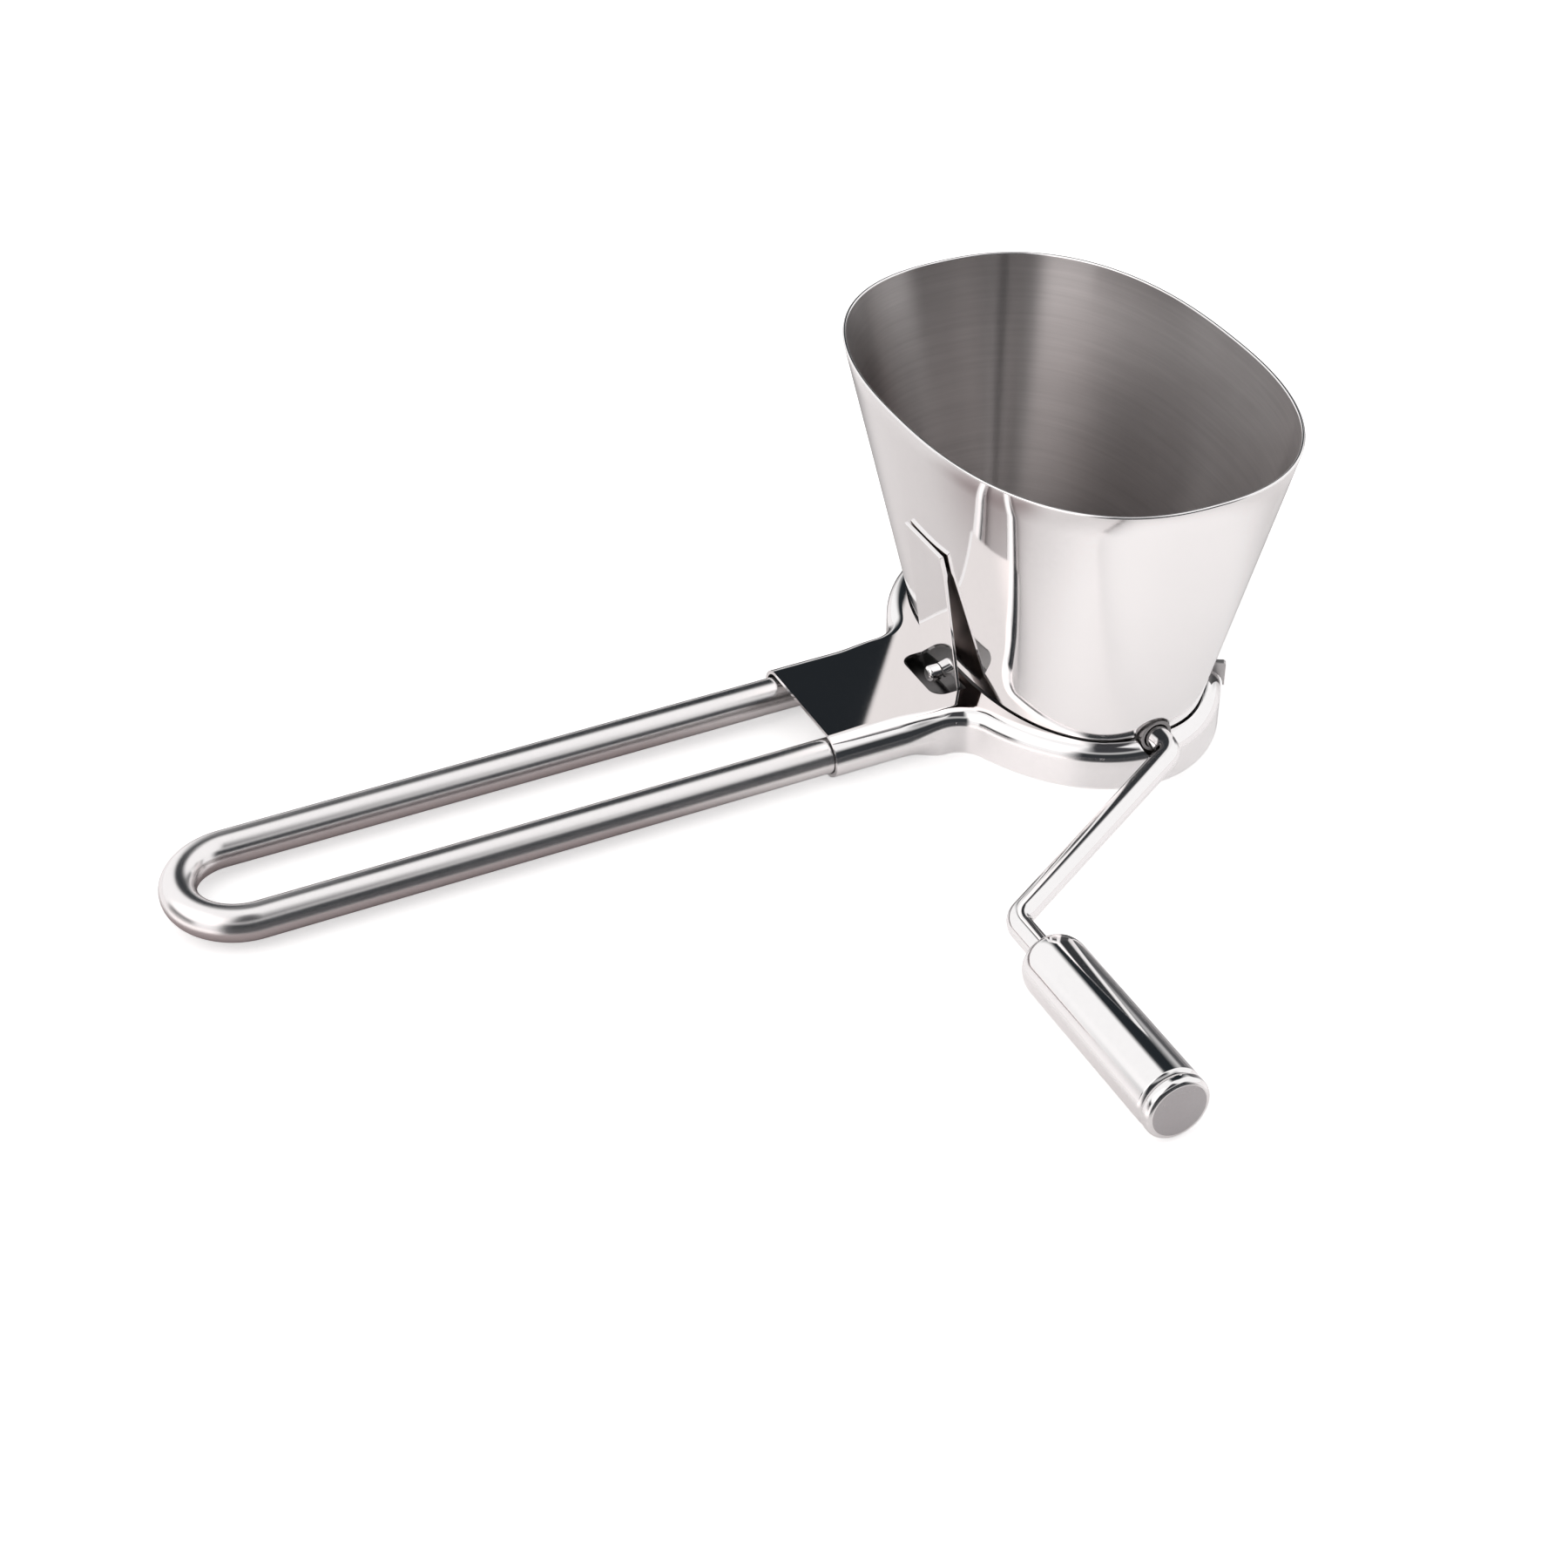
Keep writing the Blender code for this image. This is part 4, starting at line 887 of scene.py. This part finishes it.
def floor_glow(nodes, links, place, path):
    """Strength of the floor's glow: even for the camera, and only the white card for everything else."""
    away = nodes.new("ShaderNodeVectorMath")
    away.operation = "DISTANCE"
    away.inputs[1].default_value = FLOOR_CARD_MIDDLE
    links.new(place, away.inputs[0])
    card = within(nodes, links, away.outputs["Value"], FLOOR_CARD_RADIUS, FLOOR_CARD_SOFTNESS)
    glow = add_node(nodes, "ShaderNodeMapRange", To_Max=FLOOR_GLOW)
    links.new(path.outputs["Is Camera Ray"], glow.inputs["Value"])
    links.new(spread(nodes, links, card, 0.0, FLOOR_CARD_GLOW, 0.0, 1.0), glow.inputs["To Min"])
    return glow.outputs["Result"]


def floor_colour(nodes, links, place, path):
    """White for the camera, pale for the light, and with a painted shadow under the handle for the metal.
    """
    split = nodes.new("ShaderNodeSeparateXYZ")
    links.new(place, split.inputs["Vector"])
    aside = nodes.new("ShaderNodeMath")
    aside.operation = "SUBTRACT"
    aside.inputs[1].default_value = MIDDLE.y
    links.new(split.outputs["Y"], aside.inputs[0])
    # The range is clamped, so the painted shadow's edge slants on the near side alone.
    lean = spread(nodes, links, aside.outputs["Value"], -HANDLE_SHADOW_SLANT, 0.0, -1.0, 0.0)
    along = math_node(nodes, links, "SUBTRACT", split.outputs["X"], lean)
    short = within(nodes, links, along, HANDLE_SHADOW_END, HANDLE_SHADOW_SOFTNESS)
    across = math_node(nodes, links, "ABSOLUTE", aside.outputs["Value"])
    narrow = within(nodes, links, across, HANDLE_SHADOW_HALF_WIDTH, HANDLE_SHADOW_SOFTNESS)
    # Painted shadow under the handle, for glossy rays alone.
    handle_shadow = math_node(nodes, links, "MULTIPLY", narrow, short)
    handle_shadow = math_node(nodes, links, "MULTIPLY", handle_shadow, path.outputs["Is Glossy Ray"])
    white = mix_colours(nodes, links, path.outputs["Is Camera Ray"], FLOOR_COLOUR, FLOOR_WHITE)
    return mix_colours(nodes, links, handle_shadow, white, HANDLE_SHADOW_COLOUR)


def add_floor_sheen(nodes, links, shader, path):
    """Give the floor a sheen at low angles, which only the metal sees."""
    slant = add_node(nodes, "ShaderNodeLayerWeight", Blend=0.5)
    low_angle = step_node(nodes, links, slant.outputs["Facing"], *SHEEN_STARTS)
    seen_by_metal = math_node(nodes, links, "MULTIPLY", low_angle, path.outputs["Is Glossy Ray"])
    sheen = add_node(nodes, "ShaderNodeBsdfGlossy", Color=(*SHEEN_COLOUR, 1.0), Roughness=SHEEN_ROUGHNESS)
    choice = nodes.new("ShaderNodeMixShader")
    links.new(seen_by_metal, choice.inputs[0])
    links.new(shader.outputs["BSDF"], choice.inputs[1])
    links.new(sheen.outputs["BSDF"], choice.inputs[2])
    links.new(choice.outputs["Shader"], nodes["Material Output"].inputs["Surface"])


def make_floor():
    """White floor with the sifter's own soft shadow, which the metal sees at its full depth, and a painted
    shadow under the handle that only the metal sees.
    """
    half = FLOOR_HALF_WIDTH
    corners = [(-half, -half, 0), (half, -half, 0), (half, half, 0), (-half, half, 0)]
    mesh = bpy.data.meshes.new("floor")
    mesh.from_pydata(corners, [], [(0, 1, 2, 3)])
    floor = bpy.data.objects.new("floor", mesh)
    bpy.context.scene.collection.objects.link(floor)
    floor.location.z = cad_low.z

    material, nodes, links = new_material("floor_white")
    mesh.materials.append(material)
    shader = nodes["Principled BSDF"]
    shader.inputs["Roughness"].default_value = FLOOR_ROUGHNESS
    shader.inputs["Specular IOR Level"].default_value = 0.0
    shader.inputs["Emission Color"].default_value = (*WHITE, 1.0)
    path = nodes.new("ShaderNodeLightPath")
    place = nodes.new("ShaderNodeTexCoord").outputs["Object"]
    links.new(floor_glow(nodes, links, place, path), shader.inputs["Emission Strength"])
    links.new(floor_colour(nodes, links, place, path), shader.inputs["Base Color"])
    add_floor_sheen(nodes, links, shader, path)


def make_camera():
    """Camera where the photo's was."""
    lens = bpy.data.cameras.new("camera")
    lens.lens = CAMERA_LENS
    lens.sensor_width = SENSOR_WIDTH
    camera = bpy.data.objects.new("camera", lens)
    camera.location = CAMERA_PLACE
    camera.rotation_euler = (math.pi / 2 - CAMERA_DROP, 0.0, -CAMERA_TURN)
    bpy.context.scene.collection.objects.link(camera)
    bpy.context.scene.camera = camera


def card_mask(nodes, links, direction, elevation, card):
    """Soft-edged window of azimuth and elevation that one card covers."""
    turn = nodes.new("ShaderNodeVectorRotate")
    turn.rotation_type = "Z_AXIS"
    turn.inputs["Angle"].default_value = -math.radians(card.azimuth)
    links.new(direction, turn.inputs["Vector"])
    split = nodes.new("ShaderNodeSeparateXYZ")
    links.new(turn.outputs["Vector"], split.inputs["Vector"])
    aside = math_node(nodes, links, "ARCTAN2", split.outputs["Y"], split.outputs["X"])
    aside = math_node(nodes, links, "ABSOLUTE", aside)
    soft = math.radians(card.softness)
    low = math.radians(card.lowest)
    across = within(nodes, links, aside, math.radians(card.half_width), soft)
    above = step_node(nodes, links, elevation, low - soft, low + soft)
    below = within(nodes, links, elevation, math.radians(card.highest), soft)
    return math_node(nodes, links, "MULTIPLY", across, math_node(nodes, links, "MULTIPLY", above, below))


def make_world():
    """Pale studio with dark cards and a light panel, which give the steel its black and white."""
    world = bpy.data.worlds.new("studio")
    world.use_nodes = True
    bpy.context.scene.world = world
    nodes, links = world.node_tree.nodes, world.node_tree.links
    direction = nodes.new("ShaderNodeTexCoord").outputs["Generated"]
    split = nodes.new("ShaderNodeSeparateXYZ")
    links.new(direction, split.inputs["Vector"])
    elevation = math_node(nodes, links, "ARCSINE", split.outputs["Z"])
    colour = WALL_LIGHT
    for card in CARDS:
        mask = card_mask(nodes, links, direction, elevation, card)
        colour = mix_colours(nodes, links, mask, colour, card.colour)
    path = nodes.new("ShaderNodeLightPath")
    shown = mix_colours(nodes, links, path.outputs["Is Camera Ray"], colour, WHITE)
    links.new(shown, nodes["Background"].inputs["Color"])


make_hopper()
make_base_frame()
make_handle()
make_tongue()
make_catch_pin()
make_crank()
make_grip()
make_grip_cap()
make_net()
make_small_pieces()
make_floor()
make_camera()
make_world()
bpy.context.scene.view_settings.view_transform = "Standard"
